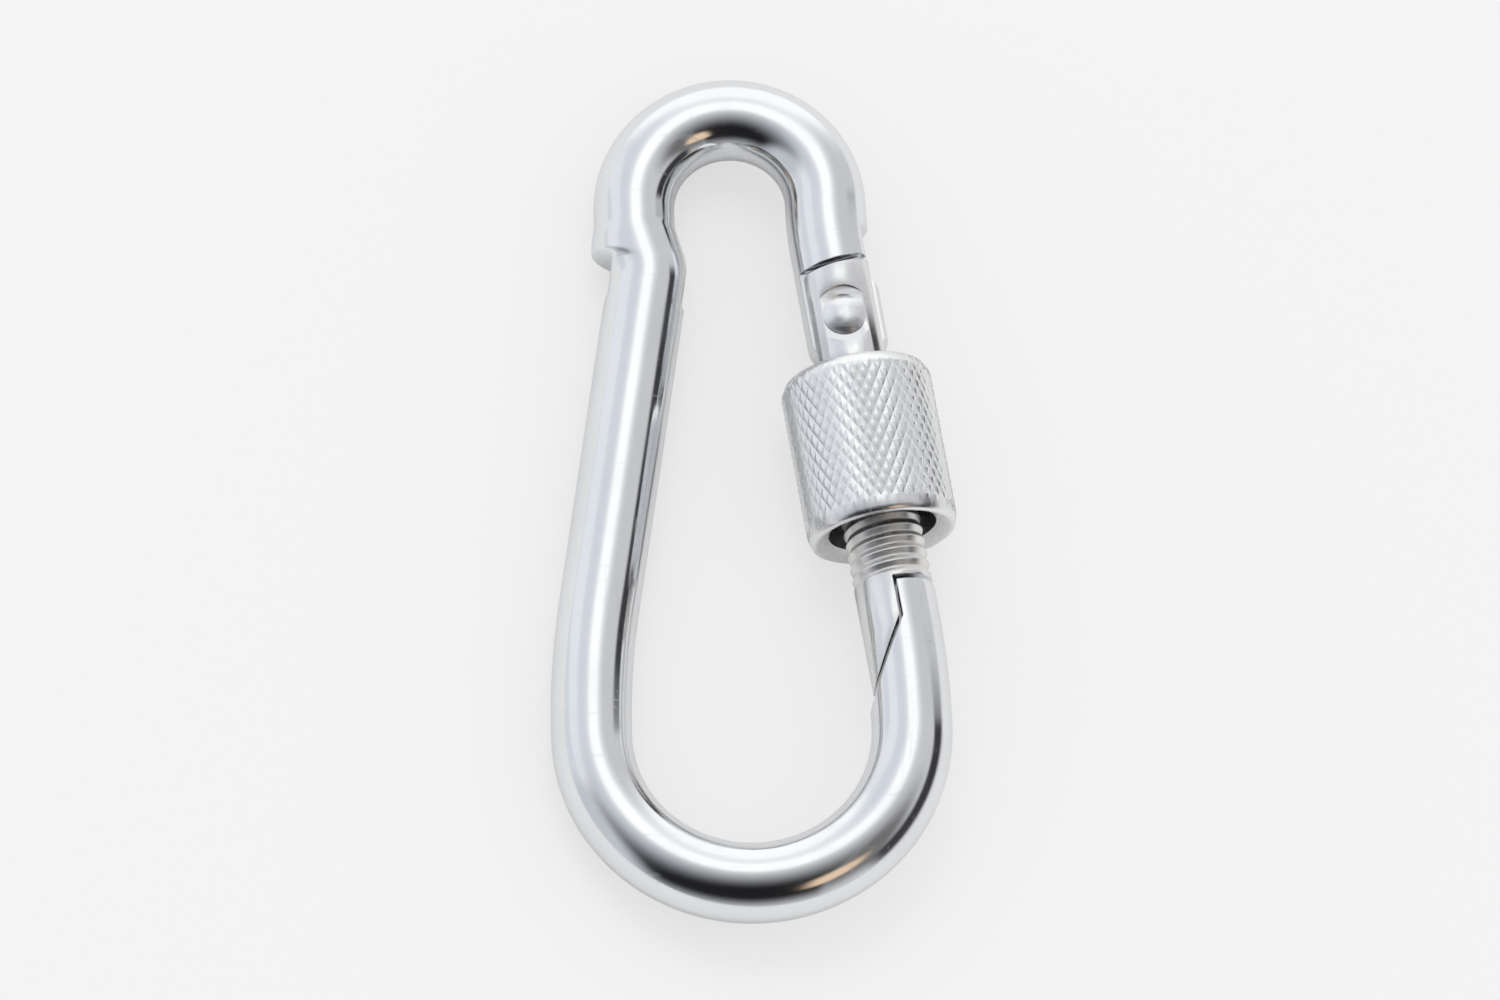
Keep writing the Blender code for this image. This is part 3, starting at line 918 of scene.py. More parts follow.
class Wire:
    """A round section led along straight runs and bends by spinning its last ring."""

    def __init__(self, start: Vector, heading: float, radius: float, sides: int) -> None:
        """Stand the first ring across the heading.

        Args:
            start: middle of the ring.
            heading: the wire's direction in the hook's plane.
            radius: of the wire.
            sides: how many edges the ring has.
        """
        self.shape = bmesh.new()
        self.place = start.copy()
        self.heading = heading
        upright = Matrix.Rotation(QUARTER_TURN, 4, "Y")
        turn = Matrix.Translation(start) @ Matrix.Rotation(heading, 4, "Z") @ upright
        self.ring = ring(self.shape, radius, sides, turn)

    def straight(self, length: float, steps: int) -> None:
        """Carry the ring straight on.

        Args:
            length: how far.
            steps: rings on the way.
        """
        stride = heading_vector(self.heading) * length
        self.ring = spin(self.shape, self.ring, steps, 0.0, self.place, dvec=stride / steps)
        self.place += stride

    def bend(self, radius: float, angle: float, steps: int) -> None:
        """Carry the ring round a bend.

        Args:
            radius: of the wire's middle line.
            angle: in radians, to the left where it is positive.
            steps: rings in the bend.
        """
        side = 1.0 if angle > 0.0 else -1.0
        centre = self.place + side * radius * heading_vector(self.heading + QUARTER_TURN)
        self.ring = spin(self.shape, self.ring, steps, angle, centre)
        self.heading += angle
        self.place = centre - side * radius * heading_vector(self.heading + QUARTER_TURN)


@dataclass(frozen=True)
class PressMark:
    """A flat pressed into a run of the wire.

    Attributes:
        place: frame of the run, X across the wire and Z along it.
        side: 1 where the flat is on the +X flank, -1 on the other.
        depth: how far the flat lies below the wire's surface.
        low: lower end of the flat, along Z.
        high: upper end of the flat.
        low_fade: length over which it runs out below.
        high_fade: length over which it runs out above.
        crumple: height of the uneven marks of the tool.
        softness: how softly the flat meets the round wire.
        ripples: how many of the uneven marks fit in a metre.
        ripple_depth: depth of the flat at which they stand at full height.
    """

    place: Matrix
    side: float
    depth: float
    low: float
    high: float
    low_fade: float
    high_fade: float
    crumple: float = 0.0
    softness: float = 0.00004
    ripples: float = 2600.0
    ripple_depth: float = 0.0001

    def press(self, shape: BMesh) -> None:
        """Move the wire's surface in to the flat.

        Args:
            shape: the wire.
        """

        def flattened(local: Vector, spot: Vector) -> float:
            """A point's place across the wire under the press.

            Args:
                local: the point in the run's frame.
                spot: the same point in the hook.

            Returns:
                Its new X in the run's frame.
            """
            along = fade(local.z, self.low - self.low_fade, self.low)
            along *= 1.0 - fade(local.z, self.high, self.high + self.high_fade)
            outwards = local.x * self.side
            pressed = -soft_floor(-outwards, self.depth - LAYOUT.wire_radius, self.softness)
            sunk = fade(max(outwards - pressed, 0.0), 0.0, self.ripple_depth)
            ripple = noise.noise(spot * self.ripples) * self.crumple * sunk
            return self.side * (outwards + along * (pressed - outwards + ripple))

        reshape(shape, self.place, self.low - self.low_fade, self.high + self.high_fade, flattened)


@dataclass
class HookBody:
    """The bent wire, with its press marks, tongue and nose."""

    sides: int = 72
    hole_radius: float = 0.0009
    tongue_corner: float = 0.00070
    nose_edge: float = 0.00025
    overrun: float = 0.0010
    step_bend: float = 0.0026
    lip_height: float = 0.00035
    lip_round: float = 0.00045
    flank_start: float = 0.05
    flank_full: float = 0.80
    crumple: float = 0.00009
    edge_rounding: float = 0.00006
    edge_angle: float = 35.0

    def wire(self) -> BMesh:
        """The whole wire, from the nose round both bows to the tongue's end.

        Returns:
            The wire, closed at both ends.
        """
        lay = LAYOUT
        wire = Wire(lay.pivot + lay.nose_end * lay.down, lay.lean - QUARTER_TURN, lay.wire_radius, self.sides)
        wire.straight(lay.nose_straight, 8)
        wire.bend(lay.side, -lay.lean, 24)
        wire.bend(lay.wide_bow, -math.pi, 120)
        wire.bend(lay.side, -lay.spine_lean, 24)
        jog = math.atan2(lay.step_depth, lay.step_length)
        lower = lay.spine_lean + jog
        lower_cut = math.tan(lower / 2) * self.step_bend
        upper_cut = math.tan(jog / 2) * self.step_bend
        wire.straight((lay.step_foot - wire.place).length - lower_cut, 60)
        wire.bend(self.step_bend, lower, 10)
        wire.straight(math.hypot(lay.step_length, lay.step_depth) - lower_cut - upper_cut, 24)
        wire.bend(self.step_bend, -jog, 10)
        wire.straight(lay.step_start - upper_cut, 12)
        wire.bend(lay.narrow_bow, -math.pi, 96)
        wire.bend(lay.hinge_bend, lay.lean, 30)
        wire.straight(lay.bend_to_shoulder + lay.shoulder + lay.tongue_end, 60)
        return seal(wire.shape)

    def marks(self) -> Iterable[PressMark]:
        """The flats of the press below the spine's step and above the hinge.

        Returns:
            The marks, one after another.
        """
        spine = LAYOUT.spine_frame()
        lip = self.lip_height
        outer = {"depth": 0.00016, "low_fade": 0.0009, "high_fade": self.lip_round}
        inner = {"depth": 0.00022, "low_fade": 0.0004, "high_fade": 0.0004, "crumple": self.crumple}
        hinge = {"depth": 0.00042, "low_fade": 0.0005, "high_fade": 0.0002}
        top = LAYOUT.shoulder
        yield PressMark(spine, -1.0, low=lip - 0.0016, high=lip, **outer)
        yield PressMark(spine, 1.0, low=lip - 0.0018, high=lip + 0.0013, **inner)
        yield PressMark(LAYOUT.gate_frame(), 1.0, low=top - 0.0010, high=top + 0.0020, **hinge)

    def raise_lip(self, shape: BMesh) -> None:
        """Carry the narrow bow's outer flank straight down to the lip where the press stopped.

        Args:
            shape: the wire.
        """
        lay = LAYOUT
        place = lay.spine_frame()
        jog = lay.spine_lean + math.atan2(lay.step_depth, lay.step_length)
        top = place.inverted() @ (lay.step_foot + Vector((-lay.step_depth, lay.step_length, 0.0)))

        def raised(local: Vector, spot: Vector) -> float:
            """A point's place across the wire with the outer flank carried out to the bow's.

            Args:
                local: the point in the spine's frame.
                spot: the same point in the hook; not used.

            Returns:
                Its new X in the spine's frame.
            """
            axis = -math.tan(jog) * local.z
            bow = top.x + math.tan(lay.spine_lean) * (top.z - local.z)
            flank = fade((axis - local.x) / lay.wire_radius, self.flank_start, self.flank_full)
            share = flank * fade(local.z, self.lip_height, self.lip_height + self.lip_round)
            return local.x + share * min(bow - axis, 0.0)

        reshape(shape, place, 0.0, top.z, raised)

    def corner(self, name: str, side: float, end: float, way: float, size: float) -> Object:
        """A tool that cuts a corner of the wire's end off at 45 degrees.

        Args:
            name: the tool's name.
            side: 1 for the wire's outer flank, -1 for the inner one.
            end: height of the wire's end on the gate's axis.
            way: 1 where the end faces the hinge, -1 where it faces the nose.
            size: how much of the corner goes.

        Returns:
            The tool.
        """
        over = self.overrun
        x = side * LAYOUT.wire_radius
        reach = size + over
        tip = x + side * over
        outline = [(x - side * reach, end + way * over), (tip, end - way * reach), (tip, end + way * over)]
        return Cutter.plate(name, outline, LAYOUT.gate_frame())

    def tools(self) -> list[Object]:
        """What is cut off the wire at the tongue and the nose.

        Returns:
            The tools, in the order in which they are taken out.
        """
        lay = LAYOUT
        gate = lay.gate_frame()
        slope = Matrix.Rotation(-lay.shoulder_slope, 4, "Y")
        shoulder = gate @ Matrix.Translation((0.0, 0.0, lay.shoulder)) @ slope
        drop = lay.shoulder + lay.tongue_end + self.overrun
        wide = 2.0 * lay.wire_radius
        half = lay.tongue_thickness / 2
        across = gate @ Matrix.Rotation(QUARTER_TURN, 4, "X")
        foot, tip = lay.lap_slant(lay.lap_gap / 2)
        above = self.overrun - lay.nose_end
        return [
            Cutter.block("upper_cheek", (-wide, half, -drop), (wide, wide, 0.0), shoulder),
            Cutter.block("lower_cheek", (-wide, -wide, -drop), (wide, -half, 0.0), shoulder),
            Cutter.drill("tongue_hole", self.hole_radius, -wide, wide, across),
            self.corner("outer_corner", 1.0, -lay.tongue_end, -1.0, self.tongue_corner),
            self.corner("inner_corner", -1.0, -lay.tongue_end, -1.0, self.tongue_corner),
            Cutter.plate("nose_lap", [(foot[0], above), foot, tip, (tip[0], above)], gate),
            self.corner("nose_corner", 1.0, -lay.nose_end, 1.0, self.nose_edge),
        ]

    def build(self) -> None:
        """Make and dress the body."""
        shape = self.wire()
        self.raise_lip(shape)
        for mark in self.marks():
            mark.press(shape)
        piece = Piece("bent_wire", shape)
        piece.carve(self.tools())
        piece.soften(self.edge_angle, self.edge_rounding)
        piece.finish(Body.HOOK, "hook_body", Slot.BODY, BRIGHT_PLATE)


@dataclass
class GateRod:
    """The rod between hinge and nose: fork, thread, rivet seats and lip."""

    steps: int = 72
    pitch: float = 0.0007
    thread_depth: float = 0.00014
    thread_top: float = 0.00345
    thread_end: float = 0.01555
    spare_turns: float = 1.5
    collar: float = 0.00018
    upper_rings: tuple[float, ...] = (0.2, 0.6, 1.0)
    lower_ring: float = 0.85
    slot_half: float = 0.00115
    slot_end: float = 0.0031
    bore_radius: float = 0.0011
    bore_end: float = 0.0110
    hole_radius: float = 0.00085
    seat_radius: float = 0.00165
    seat_depth: float = 0.00036
    shoulder_gap: float = 0.00030
    fork_corner: float = 0.00050
    lip_edge: float = 0.00015
    overrun: float = 0.0010
    edge_rounding: float = 0.00005
    edge_angle: float = 38.0
    crest_groove_share: float = 0.7

    def thread(self) -> BMesh:
        """The threaded length as an open skin, wound past both ends and trimmed square.

        Returns:
            The skin, open at both ends.
        """
        shape = bmesh.new()
        root = LAYOUT.gate_radius - self.thread_depth
        rising = ((0.0, 0.0), (0.04, 0.0), (0.09, 0.08), (0.41, 0.92), (0.46, 1.0))
        falling = ((0.54, 1.0), (0.59, 0.92), (0.91, 0.08), (0.96, 0.0), (1.0, 0.0))
        form = rising + falling
        profile = [(root + rise * self.thread_depth, share * self.pitch) for share, rise in form]
        line = Turner.line(shape, profile, False)
        length = self.thread_end - self.thread_top
        turns = math.ceil(length / self.pitch) + 2.0 * self.spare_turns
        Turner.helix(shape, line, self.pitch, turns, self.steps)
        bmesh.ops.remove_doubles(shape, verts=shape.verts, dist=WELD)
        start = -self.thread_end - self.spare_turns * self.pitch
        bmesh.ops.translate(shape, vec=(0.0, 0.0, start), verts=shape.verts)
        for height, way in ((-self.thread_top, 1.0), (-self.thread_end, -1.0)):
            whole = list(shape.verts) + list(shape.edges) + list(shape.faces)
            plane = {"plane_co": (0.0, 0.0, height), "plane_no": (0.0, 0.0, way)}
            bmesh.ops.bisect_plane(shape, geom=whole, dist=WELD / 4, clear_outer=True, **plane)
        return shape

    def grow(self, shape: BMesh, rim: list, height: float, radius: float) -> list:
        """Extrude a rim to a round ring at a height.

        Args:
            shape: the mesh.
            rim: the edges that are extruded.
            height: where the new ring lies.
            radius: of the new ring.

        Returns:
            The new ring's edges.
        """
        grown = bmesh.ops.extrude_edge_only(shape, edges=rim)["geom"]
        points = {item for item in grown if isinstance(item, BMVert)}
        for point in points:
            across = Vector((point.co.x, point.co.y, 0.0)).normalized() * radius
            point.co = Vector((across.x, across.y, height))
        edges = [item for item in grown if isinstance(item, BMEdge)]
        return [edge for edge in edges if edge.verts[0] in points and edge.verts[1] in points]

    def blank(self) -> BMesh:
        """The whole rod with its thread, before the fork, bore and lip are cut.

        Returns:
            The closed rod in its place.
        """
        radius = LAYOUT.gate_radius
        lip_end = LAYOUT.nose_end + LAYOUT.lap_length + LAYOUT.lap_runout - LAYOUT.lap_gap
        top = LAYOUT.shoulder + radius
        shape = self.thread()
        rims = [edge for edge in shape.edges if edge.is_boundary]
        middle = -(self.thread_top + self.thread_end) / 2
        upper = [edge for edge in rims if edge.verts[0].co.z > middle]
        lower = [edge for edge in rims if edge.verts[0].co.z < middle]
        for height in (self.collar - self.thread_top, *(top * share for share in self.upper_rings)):
            upper = self.grow(shape, upper, height, radius)
        for height in (-self.thread_end - self.collar, -lip_end * self.lower_ring, self.lip_edge - lip_end):
            lower = self.grow(shape, lower, height, radius)
        self.grow(shape, lower, -lip_end, radius - self.lip_edge)
        seal(shape)
        bmesh.ops.transform(shape, matrix=LAYOUT.gate_frame(), verts=shape.verts)
        return shape

    def tools(self) -> list[Object]:
        """What is cut out of the rod.

        Returns:
            The tools, in the order in which they are taken out.
        """
        lay = LAYOUT
        gate = lay.gate_frame()
        across = gate @ Matrix.Rotation(QUARTER_TURN, 4, "X")
        wide = 2.0 * lay.wire_radius
        top = lay.shoulder - self.shoulder_gap
        slope = math.tan(lay.shoulder_slope)
        side = lay.gate_radius + self.overrun
        inner = self.fork_corner - lay.gate_radius
        drop = self.fork_corner + self.overrun
        low = inner - drop
        above = lay.shoulder + 2.0 * lay.gate_radius
        seat = lay.gate_radius - self.seat_depth
        bevel = [(inner, top + slope * inner), (low, top + slope * inner - drop)]
        fork_top = [(side, top + slope * side), *bevel, (low, above), (side, above)]
        slot_low, slot_high = (-wide, -self.slot_half, -self.slot_end), (wide, self.slot_half, above)
        foot, tip = lay.lap_slant(-lay.lap_gap / 2)
        past = tip[1] - self.overrun
        end = -lay.gate_end
        lip = [(foot[0], end), (-tip[0], end), (-tip[0], past), (tip[0], past), tip, foot]
        return [
            Cutter.plate("fork_top", fork_top, gate),
            Cutter.block("fork_slot", slot_low, slot_high, gate),
            Cutter.drill("bore", self.bore_radius, -self.bore_end, self.overrun - self.slot_end, gate),
            Cutter.drill("rivet_hole", self.hole_radius, -wide, wide, across),
            Cutter.drill("upper_seat", self.seat_radius, -wide, -seat, across),
            Cutter.drill("lower_seat", self.seat_radius, seat, wide, across),
            Cutter.plate("lip", lip, gate),
        ]

    def build(self) -> None:
        """Make and dress the gate."""
        piece = Piece("gate_rod", self.blank())
        piece.carve(self.tools())
        piece.soften(self.edge_angle, self.edge_rounding)
        back = LAYOUT.gate_frame().inverted()

        # this mask lays the painted light of the groove colour over the whole thread, most in its grooves
        def groove(point: BMVert) -> float:
            """1 at the bottom of the thread, less on its crest, 0 on plain lengths.

            Args:
                point: of the rod.

            Returns:
                How deep in a groove it lies.
            """
            local = back @ point.co
            if not self.thread_top < -local.z < self.thread_end:
                return 0.0
            depth = (LAYOUT.gate_radius - math.hypot(local.x, local.y)) / self.thread_depth
            return self.crest_groove_share + (1.0 - self.crest_groove_share) * fade(depth, 0.1, 1.0)

        piece.finish(Body.GATE, "gate", Slot.GATE, GATE_PLATE, groove)


@dataclass
class SleeveNut:
    """The knurled sleeve: threaded at the top, widened below so that it passes over the nose."""

    columns: int = 84
    rows: int = 17
    knurl_depth: float = 0.00011
    crest_flat: float = 0.00006
    bore: float = 0.0023
    mouth: float = 0.00305
    thread_length: float = 0.0031
    top_edge: float = 0.00075
    knurl_start: float = 0.00020
    mouth_flare: float = 0.00070
    mouth_depth: float = 0.00045
    foot_inset: float = 0.00010
    foot_height: float = 0.00008
    valley_start: float = 0.3
    valley_end: float = 1.05
    crease_angle: float = 42.0

    @property
    def knurl_top(self) -> float:
        """Height of the knurl's upper end, below the nut's top."""
        return -self.knurl_start

    @property
    def knurl_end(self) -> float:
        """Height of the knurl's lower end."""
        return LAYOUT.nut_bottom_edge - LAYOUT.nut_length

    def side(self, height: float) -> float:
        """Outer radius at a height, with the upper edge rounded."""
        drop = max(height + self.top_edge, 0.0)
        return LAYOUT.nut_radius - self.top_edge + math.sqrt(self.top_edge**2 - drop**2)

    def row_height(self, row: int) -> float:
        """Height of one of the knurl's rows."""
        return self.knurl_top + (self.knurl_end - self.knurl_top) * row / self.rows

    def profile(self) -> list[tuple[float, float]]:
        """Outline of the nut's wall, with one point for each row of the knurl.

        Returns:
            (radius, height) points of a closed ring.
        """
        outer = LAYOUT.nut_radius
        base = -LAYOUT.nut_length
        wall = [(self.side(self.row_height(row)), self.row_height(row)) for row in range(self.rows + 1)]
        wall[0] = (wall[0][0] - self.knurl_depth / 2, wall[0][1])
        wall[-1] = (outer - self.knurl_depth, wall[-1][1])
        return [
            (self.bore, 0.0),
            (outer - self.top_edge, 0.0),
            (self.side(self.knurl_top / 4) - self.knurl_depth / 4, self.knurl_top / 4),
            *wall,
            (outer - self.knurl_depth - self.foot_inset, base + self.foot_height),
            (outer - LAYOUT.nut_bottom_edge, base),
            (self.mouth + self.mouth_flare, base),
            (self.mouth, base + self.mouth_depth),
            (self.mouth, -self.thread_length),
            (self.bore, -self.thread_length),
        ]

    def knurl(self, shape: BMesh) -> None:
        """Sink every second point of the side, crease the valleys between them and flatten the crests.

        Args:
            shape: the turned nut.
        """
        height = (self.knurl_top - self.knurl_end) / self.rows
        valleys = []
        crests = []
        for point in shape.verts:
            radius = math.hypot(point.co.x, point.co.y)
            row = round((self.knurl_top - point.co.z) / height)
            if radius < self.mouth + self.mouth_flare + WELD or not 0 <= row <= self.rows:
                continue
            if abs(point.co.z - self.row_height(row)) > WELD:
                continue
            column = round(math.atan2(point.co.y, point.co.x) / FULL_TURN * self.columns)
            if row in (0, self.rows):
                valleys.append(point)
            elif (column + row) % 2:
                share = 1.0 - self.knurl_depth / radius
                point.co = Vector((point.co.x * share, point.co.y * share, point.co.z))
                valleys.append(point)
            else:
                crests.append(point)
        bmesh.ops.connect_verts(shape, verts=valleys)
        form = {"offset_type": "OFFSET", "affect": "VERTICES", "segments": 1, "profile": 0.5, "material": -1}
        bmesh.ops.bevel(shape, geom=crests, offset=self.crest_flat, **form)

    def build(self) -> None:
        """Make and dress the nut."""
        shape = Turner.solid(self.profile(), self.columns)
        self.knurl(shape)
        bmesh.ops.recalc_face_normals(shape, faces=shape.faces)
        place = LAYOUT.gate_frame(LAYOUT.nut_top)
        bmesh.ops.transform(shape, matrix=place, verts=shape.verts)
        back = place.inverted()

        # this mask lays painted shade: the groove colour darkens the knurl's valleys and the inside of the
        # mouth
        def valley(point: BMVert) -> float:
            """1 at the bottom of the knurl and inside, 0 on its crests and on plain faces.

            Args:
                point: of the nut.

            Returns:
                How deep in a groove it lies.
            """
            local = back @ point.co
            radius = math.hypot(local.x, local.y)
            if radius < self.mouth + WELD:
                return 1.0
            if not self.knurl_end < local.z < self.knurl_top:
                return 0.0
            depth = (self.side(local.z) - radius) / self.knurl_depth
            return fade(depth, self.valley_start, 1.0) if depth < self.valley_end else 0.0

        piece = Piece("sleeve_nut", shape)
        piece.finish(Body.NUT, "locking_nut", Slot.NUT, NUT_PLATE, valley, self.crease_angle)


@dataclass
class HingeRivet:
    """The hinge pin, with a domed head on each cheek."""

    seat: float = 0.00187
    head_radius: float = 0.00120
    head_height: float = 0.00038
    undercut: float = 0.96
    dent_depth: float = 0.00002
    dents: float = 2200.0
    dome_steps: int = 12
    steps: int = 64

    def profile(self) -> list[tuple[float, float]]:
        """Outline from the upper head's top to the lower head's.

        Returns:
            (radius, height) points from the axis back to it.
        """
        ball = (self.head_radius**2 + self.head_height**2) / (2.0 * self.head_height)
        half = math.asin(self.head_radius / ball)
        top = self.seat + self.head_height
        angles = [half * step / self.dome_steps for step in range(self.dome_steps + 1)]
        dome = [(ball * math.sin(angle), top - ball * (1.0 - math.cos(angle))) for angle in angles]
        dome.append((self.head_radius * self.undercut, self.seat))
        dome.append((LAYOUT.rivet_radius, self.seat))
        return dome + [(radius, -height) for radius, height in reversed(dome)]

    def build(self) -> None:
        """Make and dress the rivet."""
        shape = Turner.solid(self.profile(), self.steps)
        bmesh.ops.translate(shape, vec=LAYOUT.pivot, verts=shape.verts)
        for point in shape.verts:
            if abs(point.co.z) > self.seat + WELD:
                side = 1.0 if point.co.z > 0.0 else -1.0
                point.co.z -= side * self.dent_depth * (1.0 + noise.noise(point.co * self.dents))
        Piece("rivet", shape).finish(Body.GATE, "hinge_rivet", Slot.RIVET, RIVET_STEEL)


@dataclass
class PlungerPin:
    """The pin that bears on the tongue's end, with a tail that guides the spring."""

    top: float = 0.00215
    head_radius: float = 0.0010
    head_length: float = 0.0019
    tail_radius: float = 0.00045
    tail_length: float = 0.0022
    edge: float = 0.00015
    edge_bulge: float = 0.3
    steps: int = 48

    def build(self) -> None:
        """Make and dress the plunger."""
        end = self.head_length + self.tail_length
        profile = [
            (0.0, 0.0),
            (self.head_radius - self.edge, 0.0),
            (self.head_radius - self.edge * self.edge_bulge, -self.edge * self.edge_bulge),
            (self.head_radius, -self.edge),
            (self.head_radius, -self.head_length),
            (self.tail_radius, -self.head_length),
            (self.tail_radius, self.edge - end),
            (self.tail_radius - self.edge, -end),
            (0.0, -end),
        ]
        shape = Turner.solid(profile, self.steps)
        bmesh.ops.transform(shape, matrix=LAYOUT.gate_frame(self.top), verts=shape.verts)
        Piece("plunger_pin", shape).finish(Body.PLUNGER, "spring_plunger", Slot.PLUNGER, PLUNGER_STEEL)


@dataclass
class CoilSpring:
    """The spring behind the plunger, which shortens as the gate opens."""

    wire: float = 0.00034
    outside: float = 0.0020
    seat_gap: float = 0.00008
    start: float = 0.00405
    end: float = 0.0110
    turns: int = 8
    steps: int = 32
    sides: int = 12
    travel: float = 0.00047

    def build(self) -> None:
        """Make and dress the spring."""
        first = self.start + self.seat_gap + self.wire / 2
        last = self.end - self.seat_gap - self.wire / 2
        shape = bmesh.new()
        coil = (self.outside - self.wire) / 2
        foot = Matrix.Translation((coil, 0.0, -last)) @ Matrix.Rotation(QUARTER_TURN, 4, "X")
        section = ring(shape, self.wire / 2, self.sides, foot)
        Turner.helix(shape, section, (last - first) / self.turns, self.turns, self.steps)
        seal(shape, WELD / 4)
        bmesh.ops.transform(shape, matrix=LAYOUT.gate_frame(), verts=shape.verts)
        piece = Piece("coil_spring", shape)
        piece.finish(Body.GATE, "gate_spring", Slot.SPRING, SPRING_STEEL)
        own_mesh(piece.object)


@dataclass(frozen=True)
class Shade:
    """A soft-edged region of the surround that the bright metal reflects.

    Each of x, y and z gives the directions that the region covers along that axis: it rises from the
    first value to the second and falls from the third to the fourth. None leaves that side open.
    X runs to the right, Y up the photograph and Z up from the table.
    """

    name: str
    color: Color
    x: Reach = (None,) * 4
    y: Reach = (None,) * 4
    z: Reach = (None,) * 4


def below(full: float, gone: float) -> Reach:
    """Everything below a value, faded out between it and a second one."""
    return (None, None, full, gone)


def above(gone: float, full: float) -> Reach:
    """Everything above a value, faded out between it and a lower one."""
    return (gone, full, None, None)


@dataclass
class Surround:
    """The room as the metal sees it: a dome that only reflections show."""

    radius: float = 1.0
    level: float = 0.79
    walls: Color = (1.34, 1.34, 1.33)
    shades: tuple[Shade, ...] = (
        Shade("far_wall", (1.12, 1.13, 1.15), y=below(0.70, 0.85)),
        Shade("ceiling", (0.88, 0.89, 0.91), y=below(-0.05, 0.30)),
        Shade("left_side", (0.86, 0.90, 0.96), below(-0.34, -0.08), below(0.60, 0.90)),
        Shade("left_glow", (1.02, 1.05, 1.10), (-0.88, -0.82, -0.66, -0.52), below(0.60, 0.90)),
        Shade("left_front", (0.70, 0.73, 0.78), below(-0.62, -0.30), below(-0.06, 0.14)),
        Shade("right_side", (0.76, 0.76, 0.77), above(0.24, 0.56), below(0.60, 0.90)),
        Shade("strip", (1.38, 1.38, 1.37), (-0.18, -0.04, 0.20, 0.36), (0.12, 0.24, 0.50, 0.65)),
        Shade(
            "front",
            (0.018, 0.018, 0.020),
            (-0.85, -0.60, 0.40, 0.50),
            below(-0.64, 0.37),
            above(-0.30, 0.48),
        ),
        Shade(
            "front_right",
            (0.20, 0.20, 0.20),
            (0.40, 0.50, 0.72, 0.95),
            below(-0.30, 0.20),
            above(-0.10, 0.50),
        ),
        Shade(
            "warm_spot",
            (1.08, 0.80, 0.57),
            (0.24, 0.38, 0.58, 0.70),
            (-0.84, -0.76, -0.54, -0.43),
            (0.44, 0.53, 0.68, 0.79),
        ),
        Shade(
            "low_right",
            (0.05, 0.05, 0.055),
            above(0.66, 0.80),
            (-0.75, -0.55, 0.26, 0.44),
            (-0.12, 0.02, 0.32, 0.44),
        ),
    )

    def cover(self, sheet: Sheet, axes: Sequence[NodeSocket], shade: Shade) -> NodeSocket:
        """How much of a shade each direction shows, from 0 to 1.

        Args:
            sheet: the surround's tree.
            axes: X, Y and Z of the direction.
            shade: the region.

        Returns:
            The share's socket.
        """
        share: object = 1.0
        for socket, (low, risen, full, high) in zip(axes, (shade.x, shade.y, shade.z)):
            if low is not None:
                share = sheet.math("MULTIPLY", share, sheet.span(socket, low, risen))
            if high is not None:
                share = sheet.math("MULTIPLY", share, sheet.span(socket, full, high, 1.0, 0.0))
        return share

    def material(self) -> Material:
        """The room's brightness by direction, as plain emission.

        Returns:
            The material.
        """
        material, sheet, shader = new_material("surround")
        way = sheet.add("ShaderNodeVectorMath", operation="NORMALIZE")
        sheet.feed(way.inputs[0], sheet.place())
        parts = sheet.add("ShaderNodeSeparateXYZ")
        sheet.feed(parts.inputs[0], way.outputs[0])
        color: object = (*self.walls, 1.0)
        for shade in self.shades:
            color = sheet.blend(self.cover(sheet, parts.outputs, shade), color, (*shade.color, 1.0))
        sheet.fill(shader, Base_Color=(0.0, 0.0, 0.0, 1.0), Specular_IOR_Level=0.0)
        sheet.fill(shader, Emission_Color=color, Emission_Strength=self.level)
        return material

    def build(self) -> None:
        """Stand the dome round the hook, unseen by the camera and casting no light on the floor."""
        shape = bmesh.new()
        bmesh.ops.create_icosphere(shape, subdivisions=4, radius=self.radius)
        bmesh.ops.reverse_faces(shape, faces=shape.faces)
        dome = mesh_object("surround", shape)
        dome.data.materials.append(self.material())
        dome.visible_camera = False
        dome.visible_diffuse = False
        dome.visible_shadow = False


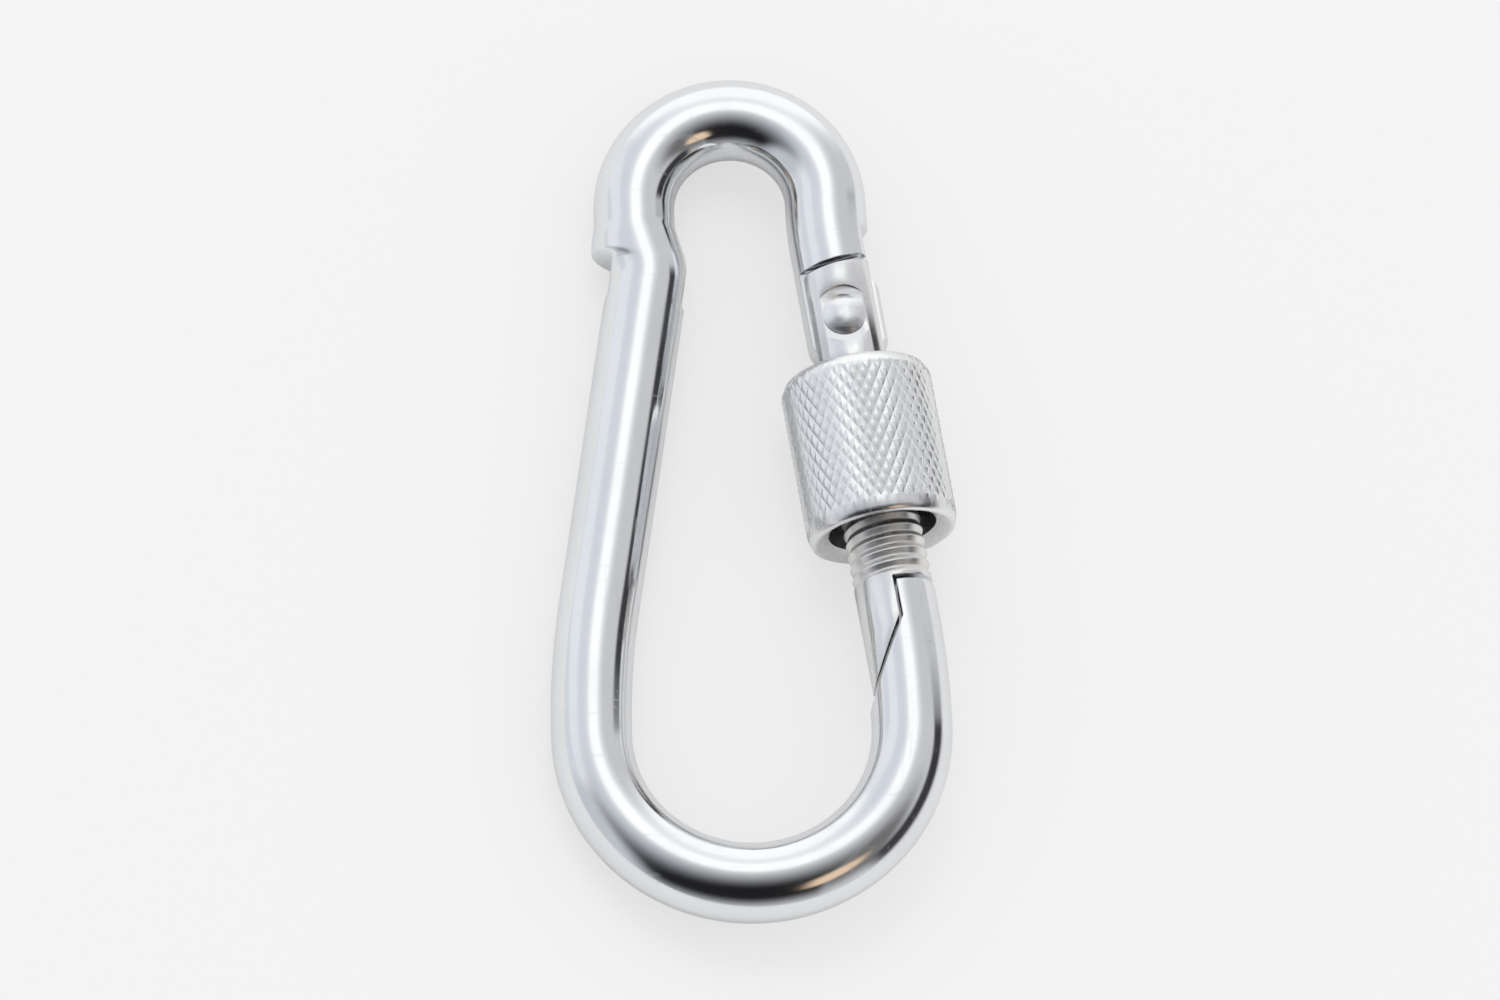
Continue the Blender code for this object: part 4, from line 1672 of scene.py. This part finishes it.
@dataclass
class Studio:
    """Floor, surround, lamp and camera."""

    floor_normal: tuple[float, float, float] = (0.14621, -0.01259, 0.98917)
    floor_level: float = -0.003430
    floor_size: float = 1.6
    floor_clean: float = 0.80
    floor_cloudy: float = 0.785
    floor_clouds: float = 60.0
    paper: float = 0.33
    paper_glow: float = 0.575
    room: Color = (0.95, 0.95, 0.95)
    room_level: float = 0.94
    lamp_place: tuple[float, float, float] = (0.0, 0.33, 0.78)
    lamp_width: float = 0.40
    lamp_length: float = 0.34
    lamp_power: float = 0.9
    lamp_color: Color = (1.0, 0.99, 0.97)
    camera_distance: float = 2.0
    camera_elevation: float = 69.0
    camera_turn: float = 2.0
    view_width: float = 0.0835
    sensor: float = 36.0

    def floor_frame(self) -> Matrix:
        """Frame of the floor, which the hook rests on with its nut and wide bow.

        Returns:
            The frame, with Z square to the floor.
        """
        up = Vector(self.floor_normal).normalized()
        across = (Vector((1.0, 0.0, 0.0)) - up.x * up).normalized()
        axes = Matrix((across, up.cross(across), up)).transposed().to_4x4()
        return Matrix.Translation(up * self.floor_level) @ axes

    def paper_material(self) -> Material:
        """Pale paper for the light in the room, brighter for the camera, and clear from below.

        Returns:
            The material.
        """
        material, sheet, shader = new_material("floor_paper")
        clouds = PlatingMottle().place(sheet, Vector=sheet.place(), Scale=self.floor_clouds)
        shown = sheet.add("ShaderNodeLightPath").outputs["Is Camera Ray"]
        clean, cloudy, paper = (
            (level, level, level, 1.0) for level in (self.floor_clean, self.floor_cloudy, self.paper)
        )
        color = sheet.blend(shown, sheet.blend(clouds, clean, cloudy), paper)
        glow = sheet.math("MULTIPLY", shown, self.paper_glow)
        sheet.fill(shader, Base_Color=color, Roughness=0.9, Specular_IOR_Level=0.1)
        sheet.fill(shader, Emission_Color=(1.0, 1.0, 1.0, 1.0), Emission_Strength=glow)
        clear = sheet.add("ShaderNodeBsdfTransparent").outputs["BSDF"]
        below_floor = sheet.add("ShaderNodeNewGeometry").outputs["Backfacing"]
        mix = sheet.add("ShaderNodeMixShader")
        for socket, value in zip(mix.inputs, (below_floor, shader.outputs["BSDF"], clear)):
            sheet.feed(socket, value)
        sheet.fill(material.node_tree.nodes["Material Output"], Surface=mix.outputs[0])
        return material

    def floor(self) -> None:
        """The plain pale floor."""
        shape = bmesh.new()
        bmesh.ops.create_grid(shape, x_segments=1, y_segments=1, size=self.floor_size / 2)
        bmesh.ops.transform(shape, matrix=self.floor_frame(), verts=shape.verts)
        thing = mesh_object("floor", shape)
        thing.data.materials.append(self.paper_material())

    def light(self) -> None:
        """A pale room and one broad lamp overhead."""
        world = bpy.data.worlds.new("pale_room")
        bpy.context.scene.world = world
        world.use_nodes = True
        background = world.node_tree.nodes["Background"]
        background.inputs["Color"].default_value = (*self.room, 1.0)
        background.inputs["Strength"].default_value = self.room_level
        world.cycles_visibility.glossy = False
        lamp = bpy.data.lights.new("broad_lamp", "AREA")
        lamp.shape = "RECTANGLE"
        lamp.size = self.lamp_width
        lamp.size_y = self.lamp_length
        lamp.energy = self.lamp_power
        lamp.color = self.lamp_color
        thing = linked("broad_lamp", lamp)
        away = Vector(self.lamp_place)
        thing.matrix_world = Matrix.Translation(away) @ away.to_track_quat("Z", "Y").to_matrix().to_4x4()
        thing.visible_camera = False
        thing.visible_glossy = False

    def camera(self) -> None:
        """The camera at the photograph's angle to the hook, close enough for the hook to fill the view."""
        data = bpy.data.cameras.new("camera")
        data.sensor_width = self.sensor
        data.lens = self.sensor * self.camera_distance / self.view_width
        data.clip_start = 0.01
        data.clip_end = 10.0
        rise = math.radians(self.camera_elevation)
        around = math.radians(-90.0 - self.camera_turn)
        back = heading_vector(around) * math.cos(rise) + Vector((0.0, 0.0, math.sin(rise)))
        aim = back.to_track_quat("Z", "Y").to_matrix().to_4x4()
        camera = linked("camera", data)
        camera.matrix_world = Matrix.Translation(back * self.camera_distance) @ aim
        bpy.context.scene.camera = camera

    def build(self) -> None:
        """Set the whole studio up."""
        bpy.context.scene.view_settings.view_transform = "Standard"
        self.floor()
        Surround().build()
        self.light()
        self.camera()
        log.info("studio: floor, surround, lamp and camera")


def main() -> None:
    """Build the hook's pieces and the studio round them."""
    logging.basicConfig(level=logging.INFO, format="%(name)s: %(message)s")
    for maker in (HookBody(), GateRod(), SleeveNut(), HingeRivet(), PlungerPin(), CoilSpring(), Studio()):
        maker.build()


if __name__ == "__main__":
    main()
